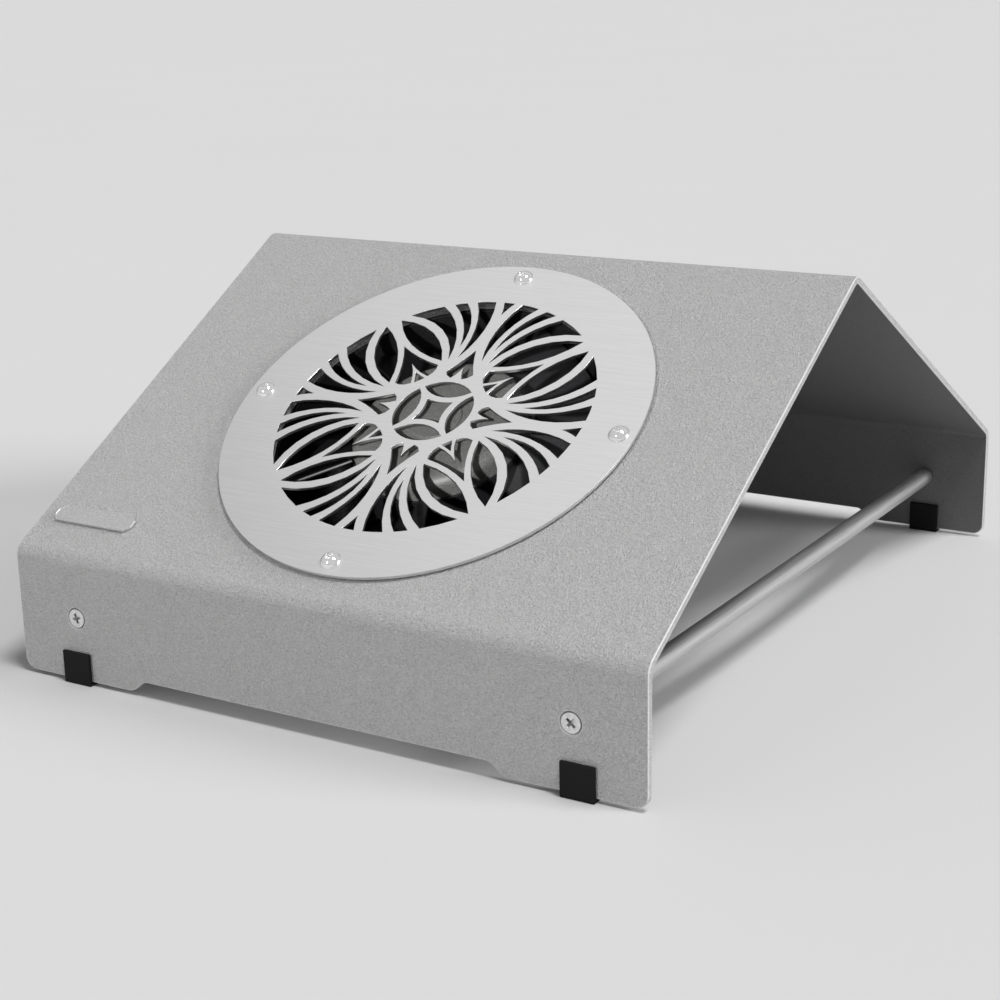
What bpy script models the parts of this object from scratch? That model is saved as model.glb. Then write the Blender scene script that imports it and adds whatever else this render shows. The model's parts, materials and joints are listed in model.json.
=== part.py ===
"""Desktop nail dust collector: a bent steel plate carries an axial fan under a cut steel grille.

The plate is folded like a roof, with a short wall in front and behind. Hands rest on the front
slope, the fan under it draws the dust down through the grille and blows it into a cloth bag.

Frame: +X is the user's right, +Y points to the rear, +Z is up. The origin is at floor level in
the middle of the object's box. Units are metres.
"""

import math

import bmesh
import bpy
from mathutils import Matrix, Vector

MM = 0.001
GAP = 0.3 * MM

# Housing: one plate, bent three times
WIDTH = 318 * MM
DEPTH = 398 * MM
WALL_HEIGHT = 57.5 * MM
SLOPE = math.radians(30)
PLATE = 3.2 * MM
BEND_RADIUS = 7 * MM
CORNER_RADIUS = 5.5 * MM
NOTCH_HEIGHT = 5.5 * MM
NOTCH_HALF_TOP = 89 * MM
NOTCH_HALF_FOOT = 95 * MM

# Rubber feet, clipped over the lower edges
FOOT_X = 126.3 * MM
FRONT_RIGHT_FOOT_X = 129.2 * MM
FOOT_WIDTH = 15.5 * MM
FOOT_LEG = 13.5 * MM
FOOT_RUBBER = 1.7 * MM

# Tie rods between the front and rear walls
ROD_X = 125.8 * MM
ROD_HEIGHT = 29 * MM
ROD_RADIUS = 4.5 * MM
ROD_HOLE_RADIUS = 2.8 * MM
ROD_HOLE_DEPTH = 14 * MM
ROD_SCREW_RADIUS = 2.4 * MM
ROD_SCREW_HEAD_RADIUS = 4.3 * MM
ROD_SCREW_HEAD = 2.4 * MM

# Grille and what fixes it; heights are along the slope's outward normal
FAN_RIGHT = 2.8 * MM
FAN_UP_SLOPE = -0.8 * MM
GRILLE_RADIUS = 100.3 * MM
GRILLE_BOTTOM = 1.0 * MM
GRILLE_TOP = 2.5 * MM
GRILLE_OPENING = 74.4 * MM
PATTERN_TURN = math.radians(-1.4)
GASKET_OUTER = 96.5 * MM
GASKET_INNER = 77 * MM
GASKET_TOP = 0.7 * MM
SCREW_CIRCLE = 92.4 * MM
SCREW_RADIUS = 2.5 * MM
SCREW_HEAD_RADIUS = 4.6 * MM
SCREW_HEAD = 2.6 * MM
SCREW_HOLE = 2.8 * MM
SCREW_END = -12.5 * MM
SCREW_TURNS = (0, 90, 180, 270)

# Fan, under the plate
PLATE_OPENING = 76 * MM
DUCT_INNER = 75 * MM
DUCT_OUTER = 78 * MM
DUCT_TOP = -PLATE - GAP
DUCT_END = DUCT_TOP - 40 * MM
EAR_THICKNESS = 4 * MM
EAR_RADIUS = 8.5 * MM
STRUT_WIDTH = 6 * MM
STRUT_HEIGHT = 5 * MM
BASE_RADIUS = 40.5 * MM
BASE_THICKNESS = 3 * MM
TUBE_RADIUS = 9.5 * MM
TUBE_TOP = -11.5 * MM
BEARING_RADIUS = 7.5 * MM
BEARING_WIDTH = 5 * MM
UPPER_BEARING_TOP = TUBE_TOP - GAP
LOWER_BEARING_TOP = DUCT_END + 6.8 * MM
SHAFT_RADIUS = 3 * MM

CUP_RADIUS = 40.5 * MM
CUP_WALL = 1.6 * MM
CUP_TOP = -3 * MM
CUP_HEIGHT = 30 * MM
CUP_SHOULDER = 5 * MM
BOSS_RADIUS = 11.5 * MM
BOSS_RISE = 0.8 * MM
CAGE_INNER = 34 * MM
CORE_RADIUS = 33.4 * MM
CORE_TOP = -13 * MM
CORE_HEIGHT = 16 * MM

BLADE_COUNT = 5
BLADE_TIP = 73 * MM
BLADE_TOP = -8 * MM
BLADE_BOTTOM = -34 * MM
BLADE_THICKNESS = 1.6 * MM
BLADE_SPAN = math.radians(50)
BLADE_START = math.radians(148)
BAND_OUTER = 42.2 * MM

# Dust bag: its neck grips the duct's end
BAG_NECK = 80.8 * MM
BAG_CLOTH = 1.2 * MM

# Nameplate, blank
NAMEPLATE_AT = (-128.7 * MM - FAN_RIGHT, -91.6 * MM - FAN_UP_SLOPE)
NAMEPLATE_SIZE = (45 * MM, 9.6 * MM)
NAMEPLATE_CORNER = 3 * MM
NAMEPLATE_THICKNESS = 1.2 * MM

# Power inlet and switch, in the rear wall
INLET_X = -80 * MM
SWITCH_X = -42 * MM
PANEL_HEIGHT = 31 * MM
INLET_FLANGE = (50 * MM, 23 * MM)
INLET_BODY = (27 * MM, 20 * MM)
INLET_DEPTH = 22 * MM
INLET_RECESS = (24 * MM, 16.4 * MM)
INLET_RECESS_DEPTH = 16.5 * MM
INLET_FACE = 2.8 * MM
INLET_SCREW_X = 20 * MM
INLET_SCREW_HOLE = 1.9 * MM
PIN_PLACES = ((-7, 2), (7, 2), (0, -2))
SWITCH_FLANGE = (17 * MM, 24.6 * MM)
SWITCH_BODY = (14.6 * MM, 22 * MM)
SWITCH_POCKET = (12.4 * MM, 19.8 * MM)
SWITCH_DEPTH = 18 * MM
SWITCH_FACE = 2.3 * MM
ROCKER_PIVOT = -3 * MM
ROCKER_REST = math.radians(10)

# The fan's lead under the rear slope
LEAD_X = -88 * MM
LEAD_RADIUS = 2.6 * MM
LEAD_BELOW_PLATE = 4.6 * MM

# How far pieces stand proud of the front and rear walls, which sets the box's middle
FRONT_PROUD = GAP + FOOT_RUBBER
REAR_PROUD = 5.0 * MM

FINE = 64
ROUND = 40
SMALL = 20

COLOURS = {
    "powder_coat": ((0.46, 0.46, 0.46), 0.55, 0.0),
    "brushed_stainless": ((0.72, 0.72, 0.71), 0.3, 1.0),
    "chrome": ((0.8, 0.8, 0.8), 0.12, 1.0),
    "zinc_steel": ((0.55, 0.55, 0.54), 0.35, 1.0),
    "black_rubber": ((0.02, 0.02, 0.02), 0.8, 0.0),
    "black_plastic": ((0.025, 0.025, 0.026), 0.45, 0.0),
    "black_casting": ((0.03, 0.03, 0.03), 0.5, 0.0),
    "speckled_paint": ((0.16, 0.16, 0.15), 0.6, 0.0),
    "lamination": ((0.25, 0.24, 0.23), 0.5, 1.0),
    "copper": ((0.72, 0.33, 0.16), 0.35, 1.0),
    "brass": ((0.7, 0.55, 0.25), 0.35, 1.0),
    "bag_cloth": ((0.11, 0.11, 0.12), 0.95, 0.0),
}


def clear_scene():
    for item in list(bpy.data.objects):
        bpy.data.objects.remove(item)


def material(name):
    found = bpy.data.materials.get(name)
    if found:
        return found
    made = bpy.data.materials.new(name)
    made.use_nodes = True
    shader = made.node_tree.nodes["Principled BSDF"]
    colour, roughness, metallic = COLOURS[name]
    shader.inputs["Base Color"].default_value = (*colour, 1)
    shader.inputs["Roughness"].default_value = roughness
    shader.inputs["Metallic"].default_value = metallic
    return made


def empty(name, parent, place=(0, 0, 0), turn=(0, 0, 0)):
    made = bpy.data.objects.new(name, None)
    bpy.context.collection.objects.link(made)
    made.parent = parent
    made.location = place
    made.rotation_euler = turn
    return made


def add_object(name, shape, finish, parent, smooth=False):
    """Turns a bmesh into a named object with outward faces and its material."""
    bmesh.ops.recalc_face_normals(shape, faces=shape.faces)
    mesh = bpy.data.meshes.new(name)
    shape.to_mesh(mesh)
    shape.free()
    if smooth:
        mesh.shade_smooth()
        mesh.set_sharp_from_angle(angle=math.radians(35))
    made = bpy.data.objects.new(name, mesh)
    bpy.context.collection.objects.link(made)
    made.parent = parent
    if finish:
        mesh.materials.append(material(finish))
    return made


# --- outlines ---------------------------------------------------------------------------------


def on_circle(radius, angle, centre=(0, 0)):
    return (centre[0] + radius * math.cos(angle), centre[1] + radius * math.sin(angle))


def arc(centre, radius, start, end, steps):
    """Points from one angle to another, both ends included."""
    return [on_circle(radius, start + (end - start) * i / steps, centre) for i in range(steps + 1)]


def circle(radius, steps, centre=(0, 0)):
    return arc(centre, radius, 0, math.tau * (steps - 1) / steps, steps - 1)


def arc_through(first, middle, last, steps):
    """Points on the circle through three points, from the first to the last."""
    a, m, b = Vector(first), Vector(middle), Vector(last)
    u, v = a - m, b - m
    twice_area = 2 * (u.x * v.y - u.y * v.x)
    centre = m + Vector((v.y * u.length_squared - u.y * v.length_squared,
                         u.x * v.length_squared - v.x * u.length_squared)) / twice_area
    start, via, end = (math.atan2(*(p - centre).yx) for p in (a, m, b))
    sweep = (end - start) % math.tau
    if (via - start) % math.tau > sweep:
        sweep -= math.tau
    return arc(centre, (a - centre).length, start, start + sweep, steps)


def rectangle(width, height):
    return [(-width / 2, -height / 2), (width / 2, -height / 2), (width / 2, height / 2), (-width / 2, height / 2)]


def rounded_rectangle(width, height, radius, centre=(0, 0), steps=4):
    points = []
    for quarter, (sx, sy) in enumerate(((1, 1), (-1, 1), (-1, -1), (1, -1))):
        corner = (centre[0] + sx * (width / 2 - radius), centre[1] + sy * (height / 2 - radius))
        start = quarter * math.pi / 2
        points += arc(corner, radius, start, start + math.pi / 2, steps)
    return points


# --- solids -----------------------------------------------------------------------------------


def prism(name, outline, low, high, finish, parent, holes=(), smooth=False):
    """A flat outline with holes, filled in the XY plane at low and extruded to high."""
    shape = bmesh.new()
    for loop in (outline, *holes):
        verts = [shape.verts.new((x, y, low)) for x, y in loop]
        for i, vert in enumerate(verts):
            shape.edges.new((vert, verts[i - 1]))
    bmesh.ops.triangle_fill(shape, use_beauty=True, edges=shape.edges[:])
    raised = bmesh.ops.extrude_face_region(shape, geom=shape.faces[:])
    top = [item for item in raised["geom"] if isinstance(item, bmesh.types.BMVert)]
    bmesh.ops.translate(shape, vec=(0, 0, high - low), verts=top)
    return add_object(name, shape, finish, parent, smooth)


def lathe(name, profile, steps, finish, parent, smooth=True):
    """A closed (radius, height) profile turned about Z; radius 0 makes a point on the axis."""
    shape = bmesh.new()
    rings = []
    for radius, height in profile:
        if radius == 0:
            rings.append([shape.verts.new((0, 0, height))])
            continue
        rings.append([shape.verts.new((*on_circle(radius, math.tau * i / steps), height))
                      for i in range(steps)])
    for ring, following in zip(rings, rings[1:] + rings[:1]):
        for i in range(steps):
            j = (i + 1) % steps
            corners = [ring[i % len(ring)], ring[j % len(ring)],
                       following[j % len(following)], following[i % len(following)]]
            distinct = list(dict.fromkeys(corners))
            if len(distinct) > 2:
                shape.faces.new(distinct)
    return add_object(name, shape, finish, parent, smooth)


def block(name, low, high, finish, parent):
    shape = bmesh.new()
    middle = [(a + b) / 2 for a, b in zip(low, high)]
    size = [b - a for a, b in zip(low, high)]
    place = Matrix.Translation(middle) @ Matrix.Diagonal((*size, 1))
    bmesh.ops.create_cube(shape, size=1, matrix=place)
    return add_object(name, shape, finish, parent)


def boolean(target, tool, operation="DIFFERENCE"):
    """Cuts or joins with a helper object, which stays in the scene as a wire guide."""
    change = target.modifiers.new(tool.name, "BOOLEAN")
    change.operation = operation
    change.solver = "EXACT"
    change.object = tool
    tool.hide_render = True
    tool.display_type = "WIRE"
    return target


def hex_outline(across_flats, centre=(0, 0)):
    return circle(across_flats / math.sqrt(3), 6, centre)


# --- housing ----------------------------------------------------------------------------------


def plate_section(inset):
    """The bent plate's surface seen from the side, as (y, z) from front foot to rear foot."""
    radius = BEND_RADIUS - inset
    half = DEPTH / 2
    tangent = BEND_RADIUS * math.tan(SLOPE)
    front = (-half + BEND_RADIUS, WALL_HEIGHT - BEND_RADIUS * math.tan(math.radians(90) / 2 - SLOPE / 2))
    ridge_height = WALL_HEIGHT + half * math.tan(SLOPE)
    ridge = (0, ridge_height - BEND_RADIUS / math.cos(SLOPE))
    steps = 5
    points = [(-half + inset, 0)]
    points += arc(front, radius, math.pi, math.pi / 2 + SLOPE, steps)
    points += arc(ridge, radius, math.pi / 2 + SLOPE, math.pi / 2 - SLOPE, steps)
    points += [(-y, z) for y, z in reversed(points[:steps + 2])]
    return points


def make_housing(root, slope_axis, front_wall, rear_wall):
    outline = plate_section(0) + plate_section(PLATE)[::-1]
    # Prism stands the section up along Z, so the empty turns it to run along X
    upright = empty("housing_turn", root, turn=(math.pi / 2, 0, math.pi / 2))
    housing = prism("housing", outline, -WIDTH / 2, WIDTH / 2, "powder_coat", upright, smooth=True)

    hole = lathe("cut_fan_opening", cylinder(PLATE_OPENING, -8 * MM, 8 * MM), FINE, None, slope_axis)
    boolean(housing, hole)
    for turn in SCREW_TURNS:
        place = empty(f"at_screw_hole_{turn}", slope_axis, turn=(0, 0, math.radians(turn)))
        shift = empty(f"at_screw_shift_{turn}", place, (SCREW_CIRCLE, 0, 0))
        boolean(housing, lathe(f"cut_screw_{turn}", cylinder(SCREW_HOLE, -8 * MM, 8 * MM), SMALL, None, shift))

    for wall in (front_wall, rear_wall):
        side = wall.name.split("_")[0]
        boolean(housing, prism(f"cut_{side}_edge", wall_edge(), -8 * MM, 8 * MM, None, wall))
        for sign in (-1, 1):
            at = empty(f"at_{side}_countersink_{sign}", wall, (sign * ROD_X, ROD_HEIGHT, 0))
            sink = lathe(f"cut_{side}_countersink_{sign}", countersink(), SMALL, None, at)
            boolean(housing, sink)

    cuts = (("inlet", INLET_X, INLET_BODY), ("switch", SWITCH_X, SWITCH_BODY))
    for name, x, (width, height) in cuts:
        panel = rounded_rectangle(width + 4 * GAP, height + 4 * GAP, 1 * MM, (-x, PANEL_HEIGHT))
        boolean(housing, prism(f"cut_{name}", panel, -8 * MM, 8 * MM, None, rear_wall))
    for sign in (-1, 1):
        at = empty(f"at_inlet_hole_{sign}", rear_wall, (-INLET_X + sign * INLET_SCREW_X, PANEL_HEIGHT, 0))
        boolean(housing, lathe(f"cut_inlet_{sign}", cylinder(INLET_SCREW_HOLE, -8 * MM, 8 * MM), SMALL, None, at))
    return housing


def cylinder(radius, low, high):
    return [(0, low), (radius, low), (radius, high), (0, high)]


def countersink():
    """Cutter for a flat-head screw: a cone open at the wall's face, and its shank hole."""
    mouth = ROD_SCREW_HEAD_RADIUS + 2 * GAP
    depth = ROD_SCREW_HEAD + 2 * GAP
    return [(0, -8 * MM), (ROD_HOLE_RADIUS, -8 * MM), (ROD_HOLE_RADIUS, -depth),
            (mouth, -0.4 * MM), (mouth, 1 * MM), (0, 1 * MM)]


def wall_edge():
    """What is cut from a wall's lower edge: its two round corners and the notch between the feet."""
    half = WIDTH / 2
    below = -2 * MM
    beyond = half + 2 * MM
    right_corner = arc((half - CORNER_RADIUS, CORNER_RADIUS), CORNER_RADIUS, 0, -math.pi / 2, 6)
    round_in = 3 * MM
    notch = [(NOTCH_HALF_FOOT, 0)]
    notch += arc((NOTCH_HALF_TOP - round_in, NOTCH_HEIGHT - round_in), round_in,
                 math.radians(40), math.pi / 2, 4)
    right_side = [(beyond, CORNER_RADIUS), *right_corner, (half - CORNER_RADIUS, -GAP / 3),
                  (NOTCH_HALF_FOOT + 1 * MM, -GAP / 3), *notch]
    left_side = [(-x, y) for x, y in reversed(right_side)]
    return right_side + left_side + [(-beyond, below), (beyond, below)]


# --- grille -----------------------------------------------------------------------------------


def slot(tip, inner_middle, inner_end, outer_middle, outer_end):
    """A sickle-shaped slot from a tip out to the grille's opening, in millimetres."""
    edge = GRILLE_OPENING / MM
    inner_end, outer_end = (Vector(p).normalized() * edge for p in (inner_end, outer_end))
    middle = (inner_end + outer_end).normalized() * edge
    return (arc_through(tip, inner_middle, inner_end, 6)[:-1]
            + arc_through(inner_end, middle, outer_end, 2)[:-1]
            + arc_through(outer_end, outer_middle, tip, 6)[:-1])


def leaf(inner_tip, outer_tip, upper, lower):
    return arc_through(inner_tip, upper, outer_tip, 6)[:-1] + arc_through(outer_tip, lower, inner_tip, 6)[:-1]


def mirrored(points):
    return [(-x, y) for x, y in reversed(points)]


def diagonal_mirrored(points):
    return [(y, x) for x, y in reversed(points)]


def quarter_pattern():
    """The openings of one quarter of the flower, about +Y and the diagonal after it (mm)."""
    sickles = [
        slot((6.6, 34.6), (3.1, 54.0), (7.2, 73.6), (7.9, 54.0), (16.5, 72.1)),
        slot((9.3, 42.0), (11.3, 55.5), (21.5, 70.8), (14.2, 54.5), (27.2, 68.8)),
        slot((10.6, 33.1), (17.0, 52.5), (32.0, 66.7), (22.5, 50.2), (45.8, 58.1)),
        leaf((13.4, 31.5), (49.2, 54.6), (27.3, 48.4), (32.3, 37.9)),
    ]
    lens_radius = 18.9
    lens_tip = (12.5, 14.2)
    lens = arc_through(mirrored([lens_tip])[0], (0, 8.9), lens_tip, 8)[:-1]
    lens += arc_through(lens_tip, (0, lens_radius), mirrored([lens_tip])[0], 8)[:-1]

    half_bud = arc_through((0, 41), (3.0, 33), (7.2, 25), 3)[:-1]
    half_bud += arc_through((7.2, 25), (5.4, 22.7), (2.9, 21.5), 2)[:-1]
    half_bud += arc_through((2.9, 21.5), (1.1, 25), (0, 29.1), 3)
    bud = half_bud + mirrored(half_bud)[1:-1]

    half_arrow = arc_through((37.5, 37.5), (26.3, 32.0), (13.7, 28.6), 4)[:-1]
    half_arrow += arc_through((13.7, 28.6), (13.1, 24.6), (14.9, 20.6), 3)[:-1]
    half_arrow += arc_through((14.9, 20.6), (21.8, 23.5), (27.2, 27.2), 3)
    arrow = half_arrow + diagonal_mirrored(half_arrow)[1:-1]

    fork_edge = on_circle(GRILLE_OPENING / MM, math.radians(87.7))
    fork = arc_through((0, 65.7), (1.0, 69.6), fork_edge, 3) + mirrored(
        arc_through((0, 65.7), (1.0, 69.6), fork_edge, 3))[:-1]
    wedge = [on_circle(radius, math.radians(angle)) for radius, angle in ((31, 45), (24.7, 50.8), (24.7, 39.2))]
    return sickles + [mirrored(s) for s in sickles] + [lens, bud, arrow, fork, wedge]


def make_grille(slope_axis):
    centre_corner = (6.88, 6.88)
    side = arc_through(mirrored([centre_corner])[0], (0, 5.7), centre_corner, 6)[:-1]
    holes = []
    centre_star = []
    for quarter in range(4):
        turn = Matrix.Rotation(PATTERN_TURN - quarter * math.pi / 2, 2)
        placed = [[tuple(turn @ Vector(p) * MM) for p in points] for points in [*quarter_pattern(), side]]
        centre_star += placed.pop()
        holes += placed
    holes.append(centre_star)
    holes += [circle(SCREW_HOLE, SMALL, on_circle(SCREW_CIRCLE, math.radians(t))) for t in SCREW_TURNS]
    prism("grille", circle(GRILLE_RADIUS, 96), GRILLE_BOTTOM, GRILLE_TOP, "brushed_stainless", slope_axis, holes)


def make_gasket(slope_axis):
    holes = [circle(GASKET_INNER, FINE)]
    holes += [circle(SCREW_HOLE, SMALL, on_circle(SCREW_CIRCLE, math.radians(t))) for t in SCREW_TURNS]
    prism("grille_gasket", circle(GASKET_OUTER, FINE), GAP, GASKET_TOP, "black_rubber", slope_axis, holes)


def make_grille_screws(slope_axis):
    names = ("right", "top", "left", "bottom")
    for name, turn in zip(names, SCREW_TURNS):
        x, y = on_circle(SCREW_CIRCLE, math.radians(turn))
        at = empty(f"at_grille_screw_{name}", slope_axis, (x, y, 0))
        seat = GRILLE_TOP + GAP
        dome = [(SCREW_HEAD_RADIUS * math.cos(a), seat + SCREW_HEAD * math.sin(a))
                for a in (0, math.radians(25), math.radians(50), math.radians(70))]
        profile = [(0, SCREW_END), (SCREW_RADIUS, SCREW_END), (SCREW_RADIUS, seat), *dome, (0, seat + SCREW_HEAD)]
        screw = lathe(f"grille_screw_{name}", profile, SMALL, "chrome", at)
        socket = prism(f"cut_socket_{name}", hex_outline(3 * MM), seat + 0.9 * MM, seat + 4 * MM, None, at)
        boolean(screw, socket)
        nut_top = DUCT_TOP - EAR_THICKNESS - GAP
        prism(f"grille_nut_{name}", hex_outline(8 * MM), nut_top - 4 * MM, nut_top, "zinc_steel", at,
              [circle(SCREW_HOLE, SMALL)])


def make_nameplate(slope_axis):
    width, height = NAMEPLATE_SIZE
    outline = rounded_rectangle(width, height, NAMEPLATE_CORNER, NAMEPLATE_AT, 3)
    prism("nameplate", outline, GAP, GAP + NAMEPLATE_THICKNESS, "brushed_stainless", slope_axis)


# --- fan --------------------------------------------------------------------------------------


def make_fan_frame(slope_axis):
    """Duct ring, four screw ears, motor base with its bearing tube, and four struts, as one casting."""
    base_top = DUCT_END + BASE_THICKNESS
    shoulder_top = UPPER_BEARING_TOP - BEARING_WIDTH - GAP
    shoulder_low = LOWER_BEARING_TOP + GAP
    bore = BEARING_RADIUS + GAP
    shoulder = BEARING_RADIUS - 2 * MM
    lip = 1.5 * MM
    ring = [(DUCT_INNER, DUCT_END), (DUCT_OUTER + lip / 2, DUCT_END), (DUCT_OUTER + lip / 2, DUCT_END + 2 * MM),
            (DUCT_OUTER, DUCT_END + 3 * MM), (DUCT_OUTER, DUCT_TOP), (DUCT_INNER, DUCT_TOP)]
    frame = lathe("fan_frame", ring, FINE, "black_casting", slope_axis)

    hub = [(bore, DUCT_END), (BASE_RADIUS, DUCT_END), (BASE_RADIUS, base_top), (TUBE_RADIUS, base_top),
           (TUBE_RADIUS, TUBE_TOP), (bore, TUBE_TOP), (bore, shoulder_top), (shoulder, shoulder_top),
           (shoulder, shoulder_low), (bore, shoulder_low)]
    boolean(frame, lathe("join_motor_base", hub, ROUND, None, slope_axis), "UNION")

    for number in range(4):
        turn = math.radians(90 * number)
        place = empty(f"at_ear_{number}", slope_axis, turn=(0, 0, turn))
        inside = DUCT_OUTER - 1.5 * MM
        ear = [(inside, -16 * MM), *arc((SCREW_CIRCLE, 0), EAR_RADIUS, -math.pi / 2, math.pi / 2, 8), (inside, 16 * MM)]
        boolean(frame, prism(f"join_ear_{number}", ear, DUCT_TOP - EAR_THICKNESS, DUCT_TOP, None, place), "UNION")
        between = empty(f"at_strut_{number}", slope_axis, turn=(0, 0, turn + math.pi / 4))
        reach = ((BASE_RADIUS - 3 * MM, -STRUT_WIDTH / 2, DUCT_END),
                 (DUCT_INNER + 1.5 * MM, STRUT_WIDTH / 2, DUCT_END + STRUT_HEIGHT))
        boolean(frame, block(f"join_strut_{number}", *reach, None, between), "UNION")
    for number in range(4):
        place = empty(f"at_ear_hole_{number}", slope_axis, (*on_circle(SCREW_CIRCLE, math.pi / 2 * number), 0))
        hole = lathe(f"cut_ear_{number}", cylinder(SCREW_HOLE, -14 * MM, 0), SMALL, None, place)
        boolean(frame, hole)


def make_bearing(name, top, parent):
    """A small ball bearing as one ring, with a groove between its races on both faces."""
    inner, outer = SHAFT_RADIUS + GAP, BEARING_RADIUS
    low = top - BEARING_WIDTH
    groove = 0.5 * MM
    first, last = inner + 1.2 * MM, outer - 1.2 * MM
    profile = [(inner, low), (first, low), (first, low + groove), (last, low + groove), (last, low), (outer, low),
               (outer, top), (last, top), (last, top - groove), (first, top - groove), (first, top), (inner, top)]
    lathe(name, profile, 24, "zinc_steel", parent)


def core_outline():
    """A four-pole stator lamination: arms that widen into curved shoes."""
    hub, shoe_inner, arm = 14.5 * MM, 29.5 * MM, 5 * MM
    spread = math.radians(38)
    points = []
    for pole in range(4):
        turn = pole * math.pi / 2
        root = math.asin(arm / hub)
        neck = math.asin(arm / shoe_inner)
        points += [on_circle(hub, turn - root), on_circle(shoe_inner, turn - neck)]
        points += [on_circle(shoe_inner, turn - spread)]
        points += arc((0, 0), CORE_RADIUS, turn - spread, turn + spread, 6)
        points += [on_circle(shoe_inner, turn + spread), on_circle(shoe_inner, turn + neck)]
        points += [on_circle(hub, turn + root)]
    return points


def make_stator(slope_axis):
    low = CORE_TOP - CORE_HEIGHT
    prism("stator_core", core_outline(), low, CORE_TOP, "lamination", slope_axis,
          [circle(TUBE_RADIUS + 1.5 * GAP, 24)])
    middle = (CORE_TOP + low) / 2
    half_height = CORE_HEIGHT / 2
    for pole in range(4):
        place = empty(f"at_coil_{pole}", slope_axis, (0, 0, middle), (0, 0, pole * math.pi / 2))
        # The coil's ring lies across the arm, so this frame's Z runs along the arm
        along = empty(f"at_coil_arm_{pole}", place, turn=(0, math.pi / 2, 0))
        outer = rounded_rectangle(2 * (half_height + 3.5 * MM), 19 * MM, 3 * MM, steps=3)
        inner = rectangle(2 * (half_height + GAP), 10.6 * MM)
        prism(f"stator_coil_{pole + 1}", outer, 15.5 * MM, 26.4 * MM, "copper", along, [inner])


def make_rotor(rotor_axis):
    """Cup, cage, shaft and clip; the axis empty shares the slope frame's origin."""
    inside = CUP_RADIUS - CUP_WALL
    low = CUP_TOP - CUP_HEIGHT
    roof = CUP_TOP - 2 * MM
    hub, hub_low = 8 * MM, CUP_TOP - 7.5 * MM
    bore, bore_top = SHAFT_RADIUS + GAP, CUP_TOP - 1 * MM
    shoulder = arc((CUP_RADIUS - CUP_SHOULDER, CUP_TOP - CUP_SHOULDER), CUP_SHOULDER, math.pi / 2, 0, 5)
    profile = [(0, CUP_TOP + BOSS_RISE), (BOSS_RADIUS, CUP_TOP + BOSS_RISE), (BOSS_RADIUS + 0.4 * MM, CUP_TOP),
               *shoulder, (CUP_RADIUS, low), (inside, low), (inside, roof - 3 * MM), (inside - 3 * MM, roof),
               (hub, roof), (hub, hub_low), (bore, hub_low), (bore, bore_top), (0, bore_top)]
    lathe("rotor_cup", profile, FINE, "speckled_paint", rotor_axis)

    cage = [(CAGE_INNER, low + 3 * MM), (inside - GAP, low + 3 * MM), (inside - GAP, CORE_TOP + 1 * MM),
            (CAGE_INNER, CORE_TOP + 1 * MM)]
    lathe("rotor_cage", cage, ROUND, "lamination", rotor_axis)

    shaft_end = DUCT_END + 0.2 * MM
    lathe("rotor_shaft", cylinder(SHAFT_RADIUS, shaft_end, bore_top - GAP), SMALL, "zinc_steel", rotor_axis)

    clip_top = LOWER_BEARING_TOP - BEARING_WIDTH - GAP
    gap_half = math.radians(40)
    clip = arc((0, 0), 5.5 * MM, gap_half, math.tau - gap_half, 20)
    clip += arc((0, 0), SHAFT_RADIUS + GAP, math.tau - gap_half, gap_half, 20)
    prism("shaft_clip", clip, clip_top - 0.7 * MM, clip_top, "zinc_steel", rotor_axis)


def blade_point(radius_share, chord_share):
    """A point on the blade's middle surface, from hub to tip and from leading to trailing edge."""
    root = CUP_RADIUS + 2 * GAP + 0.3 * MM
    radius = root + (BLADE_TIP - root) * radius_share
    angle = BLADE_START - BLADE_SPAN * chord_share * (1 - 0.12 * radius_share)
    camber = chord_share + 0.35 * chord_share * (1 - chord_share)
    height = BLADE_TOP + (BLADE_BOTTOM - BLADE_TOP) * camber * (1 - 0.1 * radius_share)
    return Vector((*on_circle(radius, angle), height))


def blade_shape():
    """One twisted blade as a closed sheet: its middle surface moved half the thickness each way."""
    across, along = 4, 8
    shape = bmesh.new()
    faces = []
    for side in (1, -1):
        grid = []
        for i in range(across + 1):
            row = []
            for j in range(along + 1):
                r, c = i / across, j / along
                here = blade_point(r, c)
                normal = (blade_point(r + 0.01, c) - here).cross(blade_point(r, c + 0.01) - here).normalized()
                row.append(shape.verts.new(here + normal * side * BLADE_THICKNESS / 2))
            grid.append(row)
        faces.append(grid)
    for grid in faces:
        for i in range(across):
            for j in range(along):
                shape.faces.new((grid[i][j], grid[i + 1][j], grid[i + 1][j + 1], grid[i][j + 1]))
    upper, lower = faces
    rim = [(0, j) for j in range(along + 1)] + [(i, along) for i in range(1, across + 1)]
    rim += [(across, j) for j in range(along - 1, -1, -1)] + [(i, 0) for i in range(across - 1, 0, -1)]
    for (i, j), (k, m) in zip(rim, rim[1:] + rim[:1]):
        shape.faces.new((upper[i][j], upper[k][m], lower[k][m], lower[i][j]))
    return shape


def make_blades(rotor_axis):
    band_inner = CUP_RADIUS + GAP
    top, low = CUP_TOP - 2 * CUP_SHOULDER, CUP_TOP - CUP_HEIGHT
    band = [(band_inner, low), (BAND_OUTER, low), (BAND_OUTER, top), (band_inner, top)]
    impeller = lathe("impeller", band, FINE, "black_plastic", rotor_axis)
    for number in range(BLADE_COUNT):
        turn = empty(f"at_blade_{number}", rotor_axis, turn=(0, 0, math.tau * number / BLADE_COUNT))
        boolean(impeller, add_object(f"join_blade_{number}", blade_shape(), None, turn), "UNION")


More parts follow.
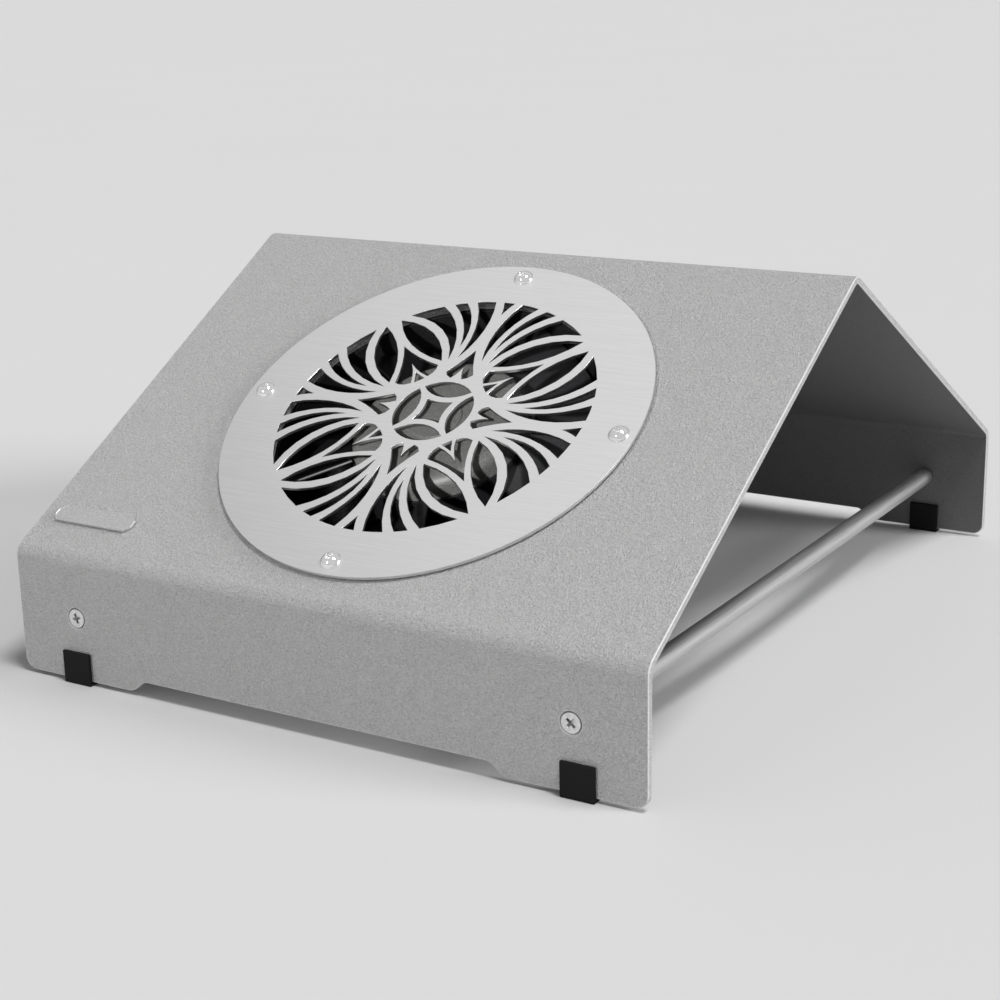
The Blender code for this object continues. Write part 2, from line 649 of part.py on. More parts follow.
def make_terminals(slope_axis):
    """Terminal block on the duct's side, with two tabs for the lead."""
    out = empty("at_terminals", slope_axis, turn=(0, 0, math.radians(135)))
    start = DUCT_OUTER + GAP
    block("terminal_block", (start, -10 * MM, -18.5 * MM), (start + 9 * MM, 10 * MM, -9 * MM), "black_plastic", out)
    tab_start = start + 9 * MM + GAP
    for name, y in (("live", -5 * MM), ("neutral", 5 * MM)):
        low = (tab_start, y - 0.4 * MM, -16.1 * MM)
        high = (tab_start + 6.3 * MM, y + 0.4 * MM, -11.4 * MM)
        block(f"terminal_tab_{name}", low, high, "brass", out)


# --- dust bag ---------------------------------------------------------------------------------


def bag_ring(centre, tilt, half_x, half_y, steps, power=2.0):
    """A rounded ring around the bag, tilted about X."""
    ring = []
    for i in range(steps):
        angle = math.tau * i / steps
        c, s = math.cos(angle), math.sin(angle)
        x = FAN_RIGHT + half_x * math.copysign(abs(c) ** (2 / power), c)
        y = half_y * math.copysign(abs(s) ** (2 / power), s)
        ring.append(Vector((x, centre[0] + y * math.cos(tilt), centre[1] + y * math.sin(tilt))))
    return ring


def make_bag(root, slope_centre):
    """A sewn pouch: its neck grips the duct's end, and its belly sags to the table."""
    steps = 48
    y0, z0 = slope_centre
    down = Vector((math.sin(SLOPE), -math.cos(SLOPE)))

    def on_axis(depth):
        return (y0 + down.x * depth, z0 + down.y * depth)

    rings = [
        (on_axis(26 * MM), SLOPE, BAG_NECK, BAG_NECK, 2.0),
        (on_axis(43 * MM), SLOPE, BAG_NECK, BAG_NECK, 2.0),
        ((-82 * MM, 66 * MM), math.radians(24), 81 * MM, 82 * MM, 2.1),
        ((-76 * MM, 44 * MM), math.radians(13), 80 * MM, 83 * MM, 2.3),
        ((-72 * MM, 24 * MM), math.radians(4), 74 * MM, 79 * MM, 2.5),
        ((-72 * MM, 9 * MM), 0, 64 * MM, 69 * MM, 2.5),
        ((-72 * MM, 3 * MM), 0, 50 * MM, 54 * MM, 2.5),
    ]
    shape = bmesh.new()
    loops = [[shape.verts.new(p) for p in bag_ring(c, t, a, b, steps, p)] for c, t, a, b, p in rings]
    for first, second in zip(loops, loops[1:]):
        for i in range(steps):
            j = (i + 1) % steps
            shape.faces.new((first[i], first[j], second[j], second[i]))
    floor = shape.verts.new((FAN_RIGHT, -72 * MM, 2.4 * MM))
    for i in range(steps):
        shape.faces.new((loops[-1][i], loops[-1][(i + 1) % steps], floor))
    bag = add_object("dust_bag", shape, "bag_cloth", root, smooth=True)
    wall = bag.modifiers.new("cloth", "SOLIDIFY")
    wall.thickness = BAG_CLOTH
    wall.offset = -1


def make_bag_band(slope_axis):
    inner = BAG_NECK + GAP
    low, high = -37 * MM, -30 * MM
    profile = [(inner, low), (inner + 1.8 * MM, low + 1 * MM), (inner + 1.8 * MM, high - 1 * MM), (inner, high)]
    lathe("bag_band", profile, 48, "black_rubber", slope_axis)


# --- rods, screws and feet --------------------------------------------------------------------


def make_rods(root, front_wall, rear_wall):
    length = DEPTH - 2 * PLATE - 2 * GAP
    for side, x in (("left", -ROD_X), ("right", ROD_X)):
        at = empty(f"at_rod_{side}", root, (x, 0, ROD_HEIGHT), (math.pi / 2, 0, 0))
        half, bottom = length / 2, length / 2 - ROD_HOLE_DEPTH
        chamfer = 0.5 * MM
        profile = [(0, -bottom), (ROD_HOLE_RADIUS, -bottom), (ROD_HOLE_RADIUS, -half), (ROD_RADIUS - chamfer, -half),
                   (ROD_RADIUS, -half + chamfer), (ROD_RADIUS, half - chamfer), (ROD_RADIUS - chamfer, half),
                   (ROD_HOLE_RADIUS, half), (ROD_HOLE_RADIUS, bottom), (0, bottom)]
        lathe(f"tie_rod_{side}", profile, 24, "zinc_steel", at)

    for wall in (front_wall, rear_wall):
        facing = wall.name.split("_")[0]
        for side, sign in (("left", -1), ("right", 1)):
            x = sign * ROD_X if facing == "front" else -sign * ROD_X
            at = empty(f"at_{facing}_rod_screw_{side}", wall, (x, ROD_HEIGHT, 0))
            top = -0.1 * MM
            profile = [(0, -12 * MM), (ROD_SCREW_RADIUS, -12 * MM), (ROD_SCREW_RADIUS, top - ROD_SCREW_HEAD),
                       (ROD_SCREW_HEAD_RADIUS, top - 0.3 * MM), (ROD_SCREW_HEAD_RADIUS, top), (0, top)]
            screw = lathe(f"rod_screw_{facing}_{side}", profile, 24, "zinc_steel", at)
            for turn in (0, math.pi / 2):
                half_long, half_wide = 2.4 * MM, 0.6 * MM
                arm = empty(f"at_{facing}_{side}_slot_{round(turn)}", at, turn=(0, 0, turn + math.radians(20)))
                boolean(screw, block(f"cut_{facing}_{side}_slot_{round(turn)}", (-half_long, -half_wide, -1.6 * MM),
                                     (half_long, half_wide, 1 * MM), None, arm))


def make_feet(root):
    """A rubber channel over the plate's lower edge, front and rear, left and right."""
    inner, outer = GAP, GAP + FOOT_RUBBER
    section = [(-outer, FOOT_LEG), (-outer, -FOOT_RUBBER), (PLATE + outer, -FOOT_RUBBER),
               (PLATE + outer, FOOT_LEG), (PLATE + inner, FOOT_LEG), (PLATE + inner, -GAP),
               (-inner, -GAP), (-inner, FOOT_LEG)]
    for facing, direction, right_x in (("front", 1, FRONT_RIGHT_FOOT_X), ("rear", -1, FOOT_X)):
        for side, x in (("left", -FOOT_X), ("right", right_x)):
            outline = [(direction * (y - DEPTH / 2), z) for y, z in section]
            turned = empty(f"at_foot_{facing}_{side}", root, (x, 0, 0), (math.pi / 2, 0, math.pi / 2))
            prism(f"foot_{facing}_{side}", outline, -FOOT_WIDTH / 2, FOOT_WIDTH / 2, "black_rubber", turned)


# --- power inlet and switch -------------------------------------------------------------------


def inlet_opening():
    """The mains socket's mouth: a rectangle with its two upper corners cut off."""
    half_w, half_h, cut = INLET_RECESS[0] / 2, INLET_RECESS[1] / 2, 4.5 * MM
    return [(-half_w, -half_h), (half_w, -half_h), (half_w, half_h - cut), (half_w - cut, half_h),
            (-half_w + cut, half_h), (-half_w, half_h - cut)]


def make_inlet(rear_wall):
    at = empty("at_inlet", rear_wall, (-INLET_X, PANEL_HEIGHT, 0))
    width, height = INLET_FLANGE
    flange = rounded_rectangle(width, height, 9 * MM)
    body_w, body_h = INLET_BODY
    shell = prism("inlet_shell", flange, GAP, INLET_FACE, "black_plastic", at)
    body = block("join_inlet_body", (-body_w / 2, -body_h / 2, -INLET_DEPTH), (body_w / 2, body_h / 2, 1 * MM), None, at)
    boolean(shell, body, "UNION")
    floor = INLET_FACE - INLET_RECESS_DEPTH
    boolean(shell, prism("cut_inlet_recess", inlet_opening(), floor, INLET_FACE + 2 * MM, None, at))
    pin_w, pin_h = 2 * MM, 4 * MM
    for name, (x, y) in zip(("live", "neutral", "earth"), PIN_PLACES):
        x, y = x * MM, -y * MM
        clear = ((x - pin_w / 2 - GAP, y - pin_h / 2 - GAP, -INLET_DEPTH - 2 * MM),
                 (x + pin_w / 2 + GAP, y + pin_h / 2 + GAP, floor + 2 * MM))
        boolean(shell, block(f"cut_pin_{name}", *clear, None, at))
        block(f"inlet_pin_{name}", (x - pin_w / 2, y - pin_h / 2, -INLET_DEPTH - 8 * MM),
              (x + pin_w / 2, y + pin_h / 2, INLET_FACE - 2.5 * MM), "brass", at)
    for side, x in (("left", INLET_SCREW_X), ("right", -INLET_SCREW_X)):
        place = empty(f"at_inlet_screw_{side}", at, (x, 0, 0))
        hole = lathe(f"cut_inlet_screw_{side}", cylinder(INLET_SCREW_HOLE, -8 * MM, 8 * MM), SMALL, None, place)
        boolean(shell, hole)
        seat = INLET_FACE + GAP
        head = [(0, -9 * MM), (1.5 * MM, -9 * MM), (1.5 * MM, seat), (2.8 * MM, seat), (2.8 * MM, seat + 1 * MM),
                (2 * MM, seat + 1.7 * MM), (0, seat + 1.9 * MM)]
        lathe(f"inlet_screw_{side}", head, SMALL, "zinc_steel", place)
        nut_top = -PLATE - GAP
        prism(f"inlet_nut_{side}", hex_outline(5.5 * MM), nut_top - 2.4 * MM, nut_top, "zinc_steel", place,
              [circle(INLET_SCREW_HOLE, 16)])


def make_switch(rear_wall):
    """Rocker switch: a framed pocket, a rocker on two side pins, and two tabs."""
    at = empty("at_switch", rear_wall, (-SWITCH_X, PANEL_HEIGHT, 0))
    flange = rounded_rectangle(*SWITCH_FLANGE, 1.5 * MM)
    shell = prism("switch_frame", flange, GAP, SWITCH_FACE, "black_plastic", at)
    body_w, body_h = SWITCH_BODY
    body = block("join_switch_body", (-body_w / 2, -body_h / 2, -SWITCH_DEPTH), (body_w / 2, body_h / 2, 1 * MM),
                 None, at)
    boolean(shell, body, "UNION")
    pocket_w, pocket_h = SWITCH_POCKET
    pocket = ((-pocket_w / 2, -pocket_h / 2, -SWITCH_DEPTH + 3 * MM), (pocket_w / 2, pocket_h / 2, 5 * MM))
    boolean(shell, block("cut_switch_pocket", *pocket, None, at))
    across = empty("at_switch_pins", at, (0, 0, ROCKER_PIVOT), (0, math.pi / 2, 0))
    pin = 1.2 * MM
    boolean(shell, lathe("cut_switch_pins", cylinder(pin + GAP, -SWITCH_POCKET[0] / 2 - 0.8 * MM,
                                                    SWITCH_POCKET[0] / 2 + 0.8 * MM), SMALL, None, across))

    pivot = empty("rocker_axis", at, (0, 0, ROCKER_PIVOT), (ROCKER_REST, 0, 0))
    half_key = 8.6 * MM
    front = arc_through((-half_key, 5.6 * MM), (0, 4.4 * MM), (half_key, 5.6 * MM), 6)
    outline = front + [(half_key, 0), (3.5 * MM, -4.5 * MM), (-3.5 * MM, -4.5 * MM), (-half_key, 0)]
    turned = empty("rocker_turn", pivot, turn=(math.pi / 2, 0, math.pi / 2))
    key_half = SWITCH_POCKET[0] / 2 - GAP
    rocker = prism("switch_rocker", outline, -key_half, key_half, "black_plastic", turned)
    pins = empty("at_rocker_pins", pivot, turn=(0, math.pi / 2, 0))
    reach = SWITCH_POCKET[0] / 2 + 0.5 * MM
    boolean(rocker, lathe("join_rocker_pins", cylinder(pin, -reach, reach), SMALL, None, pins), "UNION")

    for name, y in (("upper", 5 * MM), ("lower", -5 * MM)):
        low = (-2.4 * MM, y - 0.4 * MM, -SWITCH_DEPTH - GAP - 8 * MM)
        high = (2.4 * MM, y + 0.4 * MM, -SWITCH_DEPTH - GAP)
        block(f"switch_tab_{name}", low, high, "brass", at)


def lead_height(y):
    """Height of the lead's middle where it runs under the rear slope, held by its clips."""
    under_plate = WALL_HEIGHT + (DEPTH / 2 - y) * math.tan(SLOPE) - PLATE / math.cos(SLOPE)
    return under_plate - LEAD_BELOW_PLATE / math.cos(SLOPE)


def make_lead_clips(root):
    """Two nylon saddles stuck under the rear slope, each with the lead through it."""
    for name, y in (("upper", 66 * MM), ("lower", 112 * MM)):
        at = empty(f"at_lead_clip_{name}", root, (LEAD_X, y, lead_height(y)), (math.pi / 2 - SLOPE, 0, 0))
        outline = rounded_rectangle(12 * MM, 8 * MM, 1.5 * MM, (0, LEAD_BELOW_PLATE - GAP - 4 * MM))
        prism(f"lead_clip_{name}", outline, -4 * MM, 4 * MM, "black_plastic", at, [circle(LEAD_RADIUS + GAP, 16)])


def make_lead(root):
    """The fan's own lead, from its terminals up under the ridge and down to the back of the inlet."""
    route = [(-64.7, -29.5, 128.6), (-70, -22, 132), (-78, -5, 142), (-85, 15, 148.5)]
    route += [(LEAD_X / MM, y, lead_height(y * MM) / MM) for y in (40, 60, 80, 100, 120, 132)]
    route += [(-86, 146, 74), (-83, 156, 57), (-80.6, 161, 43), (-80, 163.5, 33)]
    curve = bpy.data.curves.new("fan_lead", "CURVE")
    curve.dimensions = "3D"
    curve.bevel_depth = LEAD_RADIUS
    curve.bevel_resolution = 2
    curve.use_fill_caps = True
    points = smooth_route([Vector(p) * MM for p in route], 3)
    spline = curve.splines.new("POLY")
    spline.points.add(len(points) - 1)
    for target, point in zip(spline.points, points):
        target.co = (*point, 1)
    lead = bpy.data.objects.new("fan_lead", curve)
    bpy.context.collection.objects.link(lead)
    lead.parent = root
    curve.materials.append(material("black_rubber"))


def smooth_route(points, steps):
    """Catmull-Rom points through a route, steps to each stretch."""
    ends = [2 * points[0] - points[1], *points, 2 * points[-1] - points[-2]]
    found = []
    for a, b, c, d in zip(ends, ends[1:], ends[2:], ends[3:]):
        for i in range(steps):
            t = i / steps
            found.append(0.5 * ((2 * b) + (c - a) * t + (2 * a - 5 * b + 4 * c - d) * t * t
                                + (3 * b - a - 3 * c + d) * t ** 3))
    return [*found, points[-1]]


def main():
    clear_scene()
    # The housing's own frame: its plate's lower edge at Z 0, midway between its walls
    root = empty("assembly", None, (0, (FRONT_PROUD - REAR_PROUD) / 2, FOOT_RUBBER))
    slope_centre = (-DEPTH / 4 + FAN_UP_SLOPE * math.cos(SLOPE),
                    WALL_HEIGHT + DEPTH / 4 * math.tan(SLOPE) + FAN_UP_SLOPE * math.sin(SLOPE))
    slope_axis = empty("slope_axis", root, (FAN_RIGHT, *slope_centre), (SLOPE, 0, 0))
    rotor_axis = empty("rotor_axis", slope_axis)
    front_wall = empty("front_wall", root, (0, -DEPTH / 2, 0), (math.pi / 2, 0, 0))
    rear_wall = empty("rear_wall", root, (0, DEPTH / 2, 0), (math.pi / 2, 0, math.pi))

    make_housing(root, slope_axis, front_wall, rear_wall)
    make_grille(slope_axis)
    make_gasket(slope_axis)
    make_grille_screws(slope_axis)
    make_nameplate(slope_axis)
    make_fan_frame(slope_axis)
    make_bearing("bearing_upper", UPPER_BEARING_TOP, slope_axis)
    make_bearing("bearing_lower", LOWER_BEARING_TOP, slope_axis)
    make_stator(slope_axis)
    make_rotor(rotor_axis)
    make_blades(rotor_axis)
    make_terminals(slope_axis)
    make_bag(root, slope_centre)
    make_bag_band(slope_axis)
    make_rods(root, front_wall, rear_wall)
    make_feet(root)
    make_inlet(rear_wall)
    make_switch(rear_wall)
    make_lead_clips(root)
    make_lead(root)


main()
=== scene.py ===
# %% [markdown]
# # A nail dust collector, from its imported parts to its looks
#
# On the real object one steel plate is folded like a roof. A fan hangs under its front slope,
# behind a round cut grille, and blows the dust into a cloth bag. The parts with their true
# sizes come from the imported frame. This lesson gives them rounded edges, finer shapes and
# materials, then adds a camera and soft light.

import json
import math

import bmesh
import bpy
from mathutils import Matrix, Vector

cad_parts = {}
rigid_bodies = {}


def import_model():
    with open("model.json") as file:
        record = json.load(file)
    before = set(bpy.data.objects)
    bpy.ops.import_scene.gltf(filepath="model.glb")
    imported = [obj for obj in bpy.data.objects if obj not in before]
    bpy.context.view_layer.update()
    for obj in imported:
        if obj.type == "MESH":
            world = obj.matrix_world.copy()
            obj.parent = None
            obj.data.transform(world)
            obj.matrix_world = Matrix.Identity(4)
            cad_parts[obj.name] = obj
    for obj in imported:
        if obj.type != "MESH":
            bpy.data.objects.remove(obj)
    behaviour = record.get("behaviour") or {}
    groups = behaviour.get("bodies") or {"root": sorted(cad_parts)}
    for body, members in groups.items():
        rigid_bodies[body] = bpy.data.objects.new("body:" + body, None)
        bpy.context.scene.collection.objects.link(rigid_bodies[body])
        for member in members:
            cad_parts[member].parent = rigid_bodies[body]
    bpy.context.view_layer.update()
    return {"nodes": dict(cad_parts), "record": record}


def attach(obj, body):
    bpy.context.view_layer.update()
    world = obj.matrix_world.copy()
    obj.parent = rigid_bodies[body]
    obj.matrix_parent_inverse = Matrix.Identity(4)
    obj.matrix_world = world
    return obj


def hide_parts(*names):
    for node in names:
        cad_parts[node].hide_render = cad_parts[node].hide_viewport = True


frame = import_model()
MM = 0.001
print("parts in the frame:", len(frame["nodes"]))

# %% [markdown]
# ## Places on the object
#
# Three flat faces carry everything: the front slope, the front wall and the rear wall. Each
# gets a matrix that takes a piece from the origin, where it is easy to model, to its face.
# With it, local X runs across the face, Y runs up it and Z points out of it. The slope's
# matrix is centred on the fan, which sits a little right of the plate's middle and below it.

# %% The housing's sizes and the frames of its faces
WIDTH = 318 * MM
DEPTH = 398 * MM
WALL_HEIGHT = 57.5 * MM
PLATE = 3.2 * MM
SLOPE_ANGLE = math.radians(30)
BEND_RADIUS = 7 * MM
LOWER_EDGE = 1.7 * MM
MIDDLE_Y = -1.5 * MM
FRONT_Y = MIDDLE_Y - DEPTH / 2
REAR_Y = MIDDLE_Y + DEPTH / 2
RISE = DEPTH / 2 * math.tan(SLOPE_ANGLE)

FAN_RIGHT, FAN_DOWN = 2.8 * MM, 0.8 * MM

SLOPE = (Matrix.Translation((0, MIDDLE_Y - DEPTH / 4, LOWER_EDGE + WALL_HEIGHT + RISE / 2))
         @ Matrix.Rotation(SLOPE_ANGLE, 4, "X") @ Matrix.Translation((FAN_RIGHT, -FAN_DOWN, 0)))
FRONT = Matrix.Translation((0, FRONT_Y, LOWER_EDGE)) @ Matrix.Rotation(math.pi / 2, 4, "X")
REAR = (Matrix.Translation((0, REAR_Y, LOWER_EDGE)) @ Matrix.Rotation(math.pi, 4, "Z")
        @ Matrix.Rotation(math.pi / 2, 4, "X"))
SCREW_CIRCLE = 92.4 * MM
SCREW_TURNS = {"right": 0, "top": 90, "left": 180, "bottom": 270}
ROD_X = 125.8 * MM
ROD_HEIGHT = 29 * MM
print("middle of the fan:", [round(v, 4) for v in SLOPE.translation])

# %% [markdown]
# ## Small tools for editing
#
# An operator acts on everything that is selected, so each step first selects exactly what it
# needs, by place or by direction. These few helpers keep the later cells short.


# %% Selecting, editing and applying
def choose(piece):
    """Leaves one object selected and active."""
    bpy.ops.object.select_all(action="DESELECT")
    piece.select_set(True)
    bpy.context.view_layer.objects.active = piece


def start_edit(piece, kind="FACE"):
    choose(piece)
    bpy.ops.object.mode_set(mode="EDIT")
    bpy.ops.mesh.select_mode(type=kind)
    bpy.ops.mesh.select_all(action="DESELECT")


def end_edit():
    bpy.ops.object.mode_set(mode="OBJECT")


def pick(kind, test):
    """In edit mode, selects the verts, edges or faces that pass a test."""
    bpy.ops.mesh.select_all(action="DESELECT")
    mesh = bpy.context.edit_object.data
    shape = bmesh.from_edit_mesh(mesh)
    found = [item for item in getattr(shape, kind) if test(item)]
    for item in found:
        item.select_set(True)
    bmesh.update_edit_mesh(mesh)
    return len(found)


def modify(piece, kind, **settings):
    """Adds a modifier and applies it."""
    choose(piece)
    made = piece.modifiers.new(kind.title(), kind)
    for key, value in settings.items():
        setattr(made, key, value)
    bpy.ops.object.modifier_apply(modifier=made.name)


def cut(piece, cutter, operation="DIFFERENCE"):
    modify(piece, "BOOLEAN", object=cutter, operation=operation, solver="EXACT")
    bpy.data.objects.remove(cutter)


def place(piece, where):
    """Moves a piece from where it was modelled to a face, and writes that into its mesh."""
    choose(piece)
    bpy.context.view_layer.update()
    piece.matrix_world = where @ piece.matrix_world
    bpy.ops.object.transform_apply(location=True, rotation=True, scale=True)
    return piece


def round_edges(piece, width, segments=3, angle=35, material=-1):
    """A small round on every edge sharper than the angle, so that it catches the light."""
    modify(piece, "BEVEL", width=width, segments=segments, limit_method="ANGLE",
           angle_limit=math.radians(angle), use_clamp_overlap=False, material=material)


def smooth(piece, angle=30):
    choose(piece)
    bpy.ops.object.shade_smooth_by_angle(angle=math.radians(angle))
    modify(piece, "WEIGHTED_NORMAL", keep_sharp=True)


def turned(degrees, axis="Z"):
    return Matrix.Rotation(math.radians(degrees), 4, axis)


def copied(piece, name, where):
    """A copy with its own mesh, moved to its place."""
    made = bpy.data.objects.new(name, piece.data.copy())
    bpy.context.scene.collection.objects.link(made)
    made.data.transform(where)
    return made


# %% [markdown]
# ## Small tools for materials
#
# Colours are written as the hex values seen on a screen, and one function turns them to the
# linear values that the shader needs. One more function adds a node with its settings, its
# socket values and its links.


# %% Colours and nodes
def linear(hex_colour):
    """Turns an sRGB hex colour into linear red, green, blue and alpha."""
    parts = [int(hex_colour[i:i + 2], 16) / 255 for i in (1, 3, 5)]
    return (*(c / 12.92 if c <= 0.04045 else ((c + 0.055) / 1.055) ** 2.4 for c in parts), 1)


def add_node(tree, kind, links=None, values=None, **settings):
    """Adds a node; links feed its sockets from other nodes' outputs, and values set them."""
    made = tree.nodes.new(kind)
    for key, value in settings.items():
        setattr(made, key, value)
    for key, value in (values or {}).items():
        made.inputs[key].default_value = value
    for key, output in (links or {}).items():
        tree.links.new(output, made.inputs[key])
    return made


def new_material(name, roughness, metallic=0.0, **sockets):
    """A material with its Principled shader's own sockets set, and its tree to add to."""
    made = bpy.data.materials.new(name)
    made.use_nodes = True
    tree = made.node_tree
    shader = tree.nodes["Principled BSDF"]
    shader.inputs["Roughness"].default_value = roughness
    shader.inputs["Metallic"].default_value = metallic
    for key, value in sockets.items():
        shader.inputs[key.replace("_", " ")].default_value = value
    return made, tree, shader


def surface_point(tree, scale=(1, 1, 1), rotation=(0, 0, 0)):
    """Object coordinates in metres, turned and scaled for a pattern."""
    where = add_node(tree, "ShaderNodeTexCoord")
    return add_node(tree, "ShaderNodeMapping", {"Vector": where.outputs["Object"]},
                    {"Scale": scale, "Rotation": rotation}).outputs["Vector"]


def noise(tree, point, size, detail=3, roughness=0.5, distortion=0.0):
    """Noise whose lumps are about one size across, in metres."""
    return add_node(tree, "ShaderNodeTexNoise", {"Vector": point},
                    {"Scale": 1 / size, "Detail": detail, "Roughness": roughness,
                     "Distortion": distortion}).outputs["Fac"]


def between(tree, value, low, high, first, last):
    """Maps a value from low..high to first..last and stops there."""
    return add_node(tree, "ShaderNodeMapRange", {"Value": value},
                    {"From Min": low, "From Max": high, "To Min": first, "To Max": last}).outputs["Result"]


def blend_colours(tree, share, first, second):
    return add_node(tree, "ShaderNodeMix", {0: share}, {6: linear(first), 7: linear(second)},
                    data_type="RGBA").outputs[2]


def bump(tree, shader, height, strength, depth):
    """Raises the surface by a height pattern; depth is in metres."""
    made = add_node(tree, "ShaderNodeBump", {"Height": height}, {"Strength": strength, "Distance": depth})
    tree.links.new(made.outputs["Normal"], shader.inputs["Normal"])


# %% [markdown]
# ## Powder-coated steel
#
# The plate is steel, sprayed with grey powder and baked. Molten powder never lies quite
# flat, so the eye sees a leathery grain of lumps just under a millimetre across, in worm-like
# rows, and a broad satin gloss. Warped noise drives both the bump and a slight change of
# tone. The cut edges get a lighter, glossier coat of their own, a painted highlight for the
# bright lines that light draws along them. The faces inside the fold get a darker coat, which
# is painted shade for the dark inside.


# %% Powder-coated steel
def powder(name, dark, light, roughness, height):
    made, tree, shader = new_material(name, roughness)
    point = surface_point(tree)
    lumps = noise(tree, point, 1.1 * MM, detail=2, distortion=0.8)
    grain = noise(tree, point, 0.6 * MM, detail=1, distortion=0.4)
    both = add_node(tree, "ShaderNodeMath", {0: lumps, 1: grain}, operation="ADD").outputs[0]
    bump(tree, shader, both, 1.0, height)
    tree.links.new(blend_colours(tree, between(tree, both, 0.75, 1.25, 0, 1), dark, light),
                   shader.inputs["Base Color"])
    tree.links.new(between(tree, lumps, 0.3, 0.7, roughness - 0.07, roughness + 0.07),
                   shader.inputs["Roughness"])
    return made


powder_coat = powder("powder_coated_steel", "#9E9E9E", "#BABABA", 0.5, 0.8 * MM)
# Painted shade: a darker coat for the faces inside the fold, standing in for the shade there.
painted_shade_inner_coat = powder("powder_coated_steel_painted_shade_inside", "#606060", "#6A6A6A", 0.55, 0.3 * MM)
# Painted highlight: a lighter coat for the rounded cut edges, standing in for the light they catch.
painted_highlight_edge_coat = powder("powder_coated_steel_painted_highlight_edge", "#BCBCBC", "#C6C6C6", 0.36, 0.05 * MM)

# %% [markdown]
# ## Brushed stainless steel
#
# The grille is laser cut from stainless sheet that was brushed in one direction before it
# was cut. The eye sees fine, faint streaks along that direction. Noise stretched eighty
# times along X gives them. Real grit marks are 0.05 mm wide, and these are 0.35 mm so that
# they still show.


# %% Brushed stainless steel
def brushed_metal(name, dark, light, roughness, stretch, streak=0.35 * MM):
    made, tree, shader = new_material(name, roughness, 1.0)
    streaks = noise(tree, surface_point(tree, stretch), streak, detail=3, roughness=0.6)
    tree.links.new(blend_colours(tree, between(tree, streaks, 0.3, 0.7, 0, 1), dark, light),
                   shader.inputs["Base Color"])
    tree.links.new(between(tree, streaks, 0.3, 0.7, roughness - 0.04, roughness + 0.04),
                   shader.inputs["Roughness"])
    bump(tree, shader, streaks, 0.1, 0.03 * MM)
    return made


ALONG_X, ALONG_Y = (0.0125, 1, 1), (1, 0.0125, 1)
stainless = brushed_metal("brushed_stainless_sheet", "#D6D6D6", "#E4E4E4", 0.32, ALONG_X)

# %% [markdown]
# ## Etched nameplate
#
# The nameplate is etched aluminium. Its field is frosted, so the eye sees a fine even grain
# and no streaks.

# %% Etched aluminium
plate_metal, tree, shader = new_material("etched_aluminium_plate", 0.46, 1.0)
frost = noise(tree, surface_point(tree), 0.6 * MM, detail=3)
tree.links.new(blend_colours(tree, between(tree, frost, 0.35, 0.65, 0, 1), "#C4C4C4", "#E2E2E2"),
               shader.inputs["Base Color"])
bump(tree, shader, frost, 0.5, 0.1 * MM)

# %% [markdown]
# ## Drawn and plated steel
#
# The tie rods are drawn bar with a satin nickel look, with marks along their length. The
# small screws, nuts and bearings are bright zinc plate, which is a little cloudy. The
# grille's screws are polished chrome, almost a mirror.

# %% Metals of rods and fasteners
rod_steel = brushed_metal("drawn_steel_bar", "#B4B4B4", "#C2C2C2", 0.5, ALONG_Y, 0.5 * MM)


def plated_metal(name, dark, light, roughness, cloud):
    made, tree, shader = new_material(name, roughness, 1.0)
    clouds = noise(tree, surface_point(tree), cloud, detail=4)
    tree.links.new(blend_colours(tree, between(tree, clouds, 0.35, 0.65, 0, 1), dark, light),
                   shader.inputs["Base Color"])
    tree.links.new(between(tree, clouds, 0.3, 0.7, roughness * 0.8, roughness * 1.25),
                   shader.inputs["Roughness"])
    return made


chrome = plated_metal("polished_chrome_plate", "#F0F0F0", "#FAFAFA", 0.06, 1.5 * MM)
zinc = plated_metal("bright_zinc_plate", "#D6D6D6", "#E8E8E8", 0.34, 2 * MM)
brass = plated_metal("stamped_brass", "#B6984F", "#D0B468", 0.26, 2 * MM)

# %% [markdown]
# ## Rubber, plastics and the fan's paints
#
# Feet, band and gasket are black rubber with a dry, faintly dusty skin. The blades, inlet
# and switch are moulded nylon and ABS. The fan's casting has thick black paint, and the
# rotor's cup is grey stoving paint with lighter specks about half a millimetre across.


# %% Rubber and plastics
def grained(name, dark, light, roughness, lump, depth, strength=0.3, **sockets):
    made, tree, shader = new_material(name, roughness, **sockets)
    grain = noise(tree, surface_point(tree), lump, detail=3)
    tree.links.new(blend_colours(tree, between(tree, grain, 0.35, 0.65, 0, 1), dark, light),
                   shader.inputs["Base Color"])
    tree.links.new(between(tree, grain, 0.3, 0.7, roughness - 0.05, roughness + 0.05),
                   shader.inputs["Roughness"])
    bump(tree, shader, grain, strength, depth)
    return made


rubber = grained("black_nitrile_rubber", "#0E0E0E", "#151515", 0.75, 0.5 * MM, 0.06 * MM,
                 Specular_IOR_Level=0.2)
nylon = grained("moulded_black_nylon", "#101011", "#17171A", 0.4, 0.8 * MM, 0.05 * MM)
gloss_abs = grained("glossy_black_abs", "#0D0D0E", "#121213", 0.18, 2 * MM, 0.01 * MM, 0.1)
cable_pvc = grained("black_pvc_jacket", "#121212", "#191919", 0.45, 1 * MM, 0.04 * MM)
cast_paint = grained("painted_black_casting", "#090909", "#0F0F0F", 0.55, 1.4 * MM, 0.12 * MM,
                     Specular_IOR_Level=0.3)

# %% Speckled stoving paint of the rotor cup
speckled, tree, shader = new_material("speckled_grey_stoving_paint", 0.5)
point = surface_point(tree)
specks = noise(tree, point, 0.6 * MM, detail=2)
tree.links.new(blend_colours(tree, between(tree, specks, 0.35, 0.65, 0, 1), "#464645", "#61615F"),
               shader.inputs["Base Color"])
bump(tree, shader, specks, 0.5, 0.12 * MM)

# %% [markdown]
# ## Motor metals
#
# A stator is a stack of half-millimetre sheets, so its side shows fine lines. Its coils are
# enamelled copper wire. A Wave texture draws both, at 0.5 mm and 0.7 mm to a line.


# %% Stacked sheet and copper wire
level_with_slope = (-SLOPE_ANGLE, 0, 0)


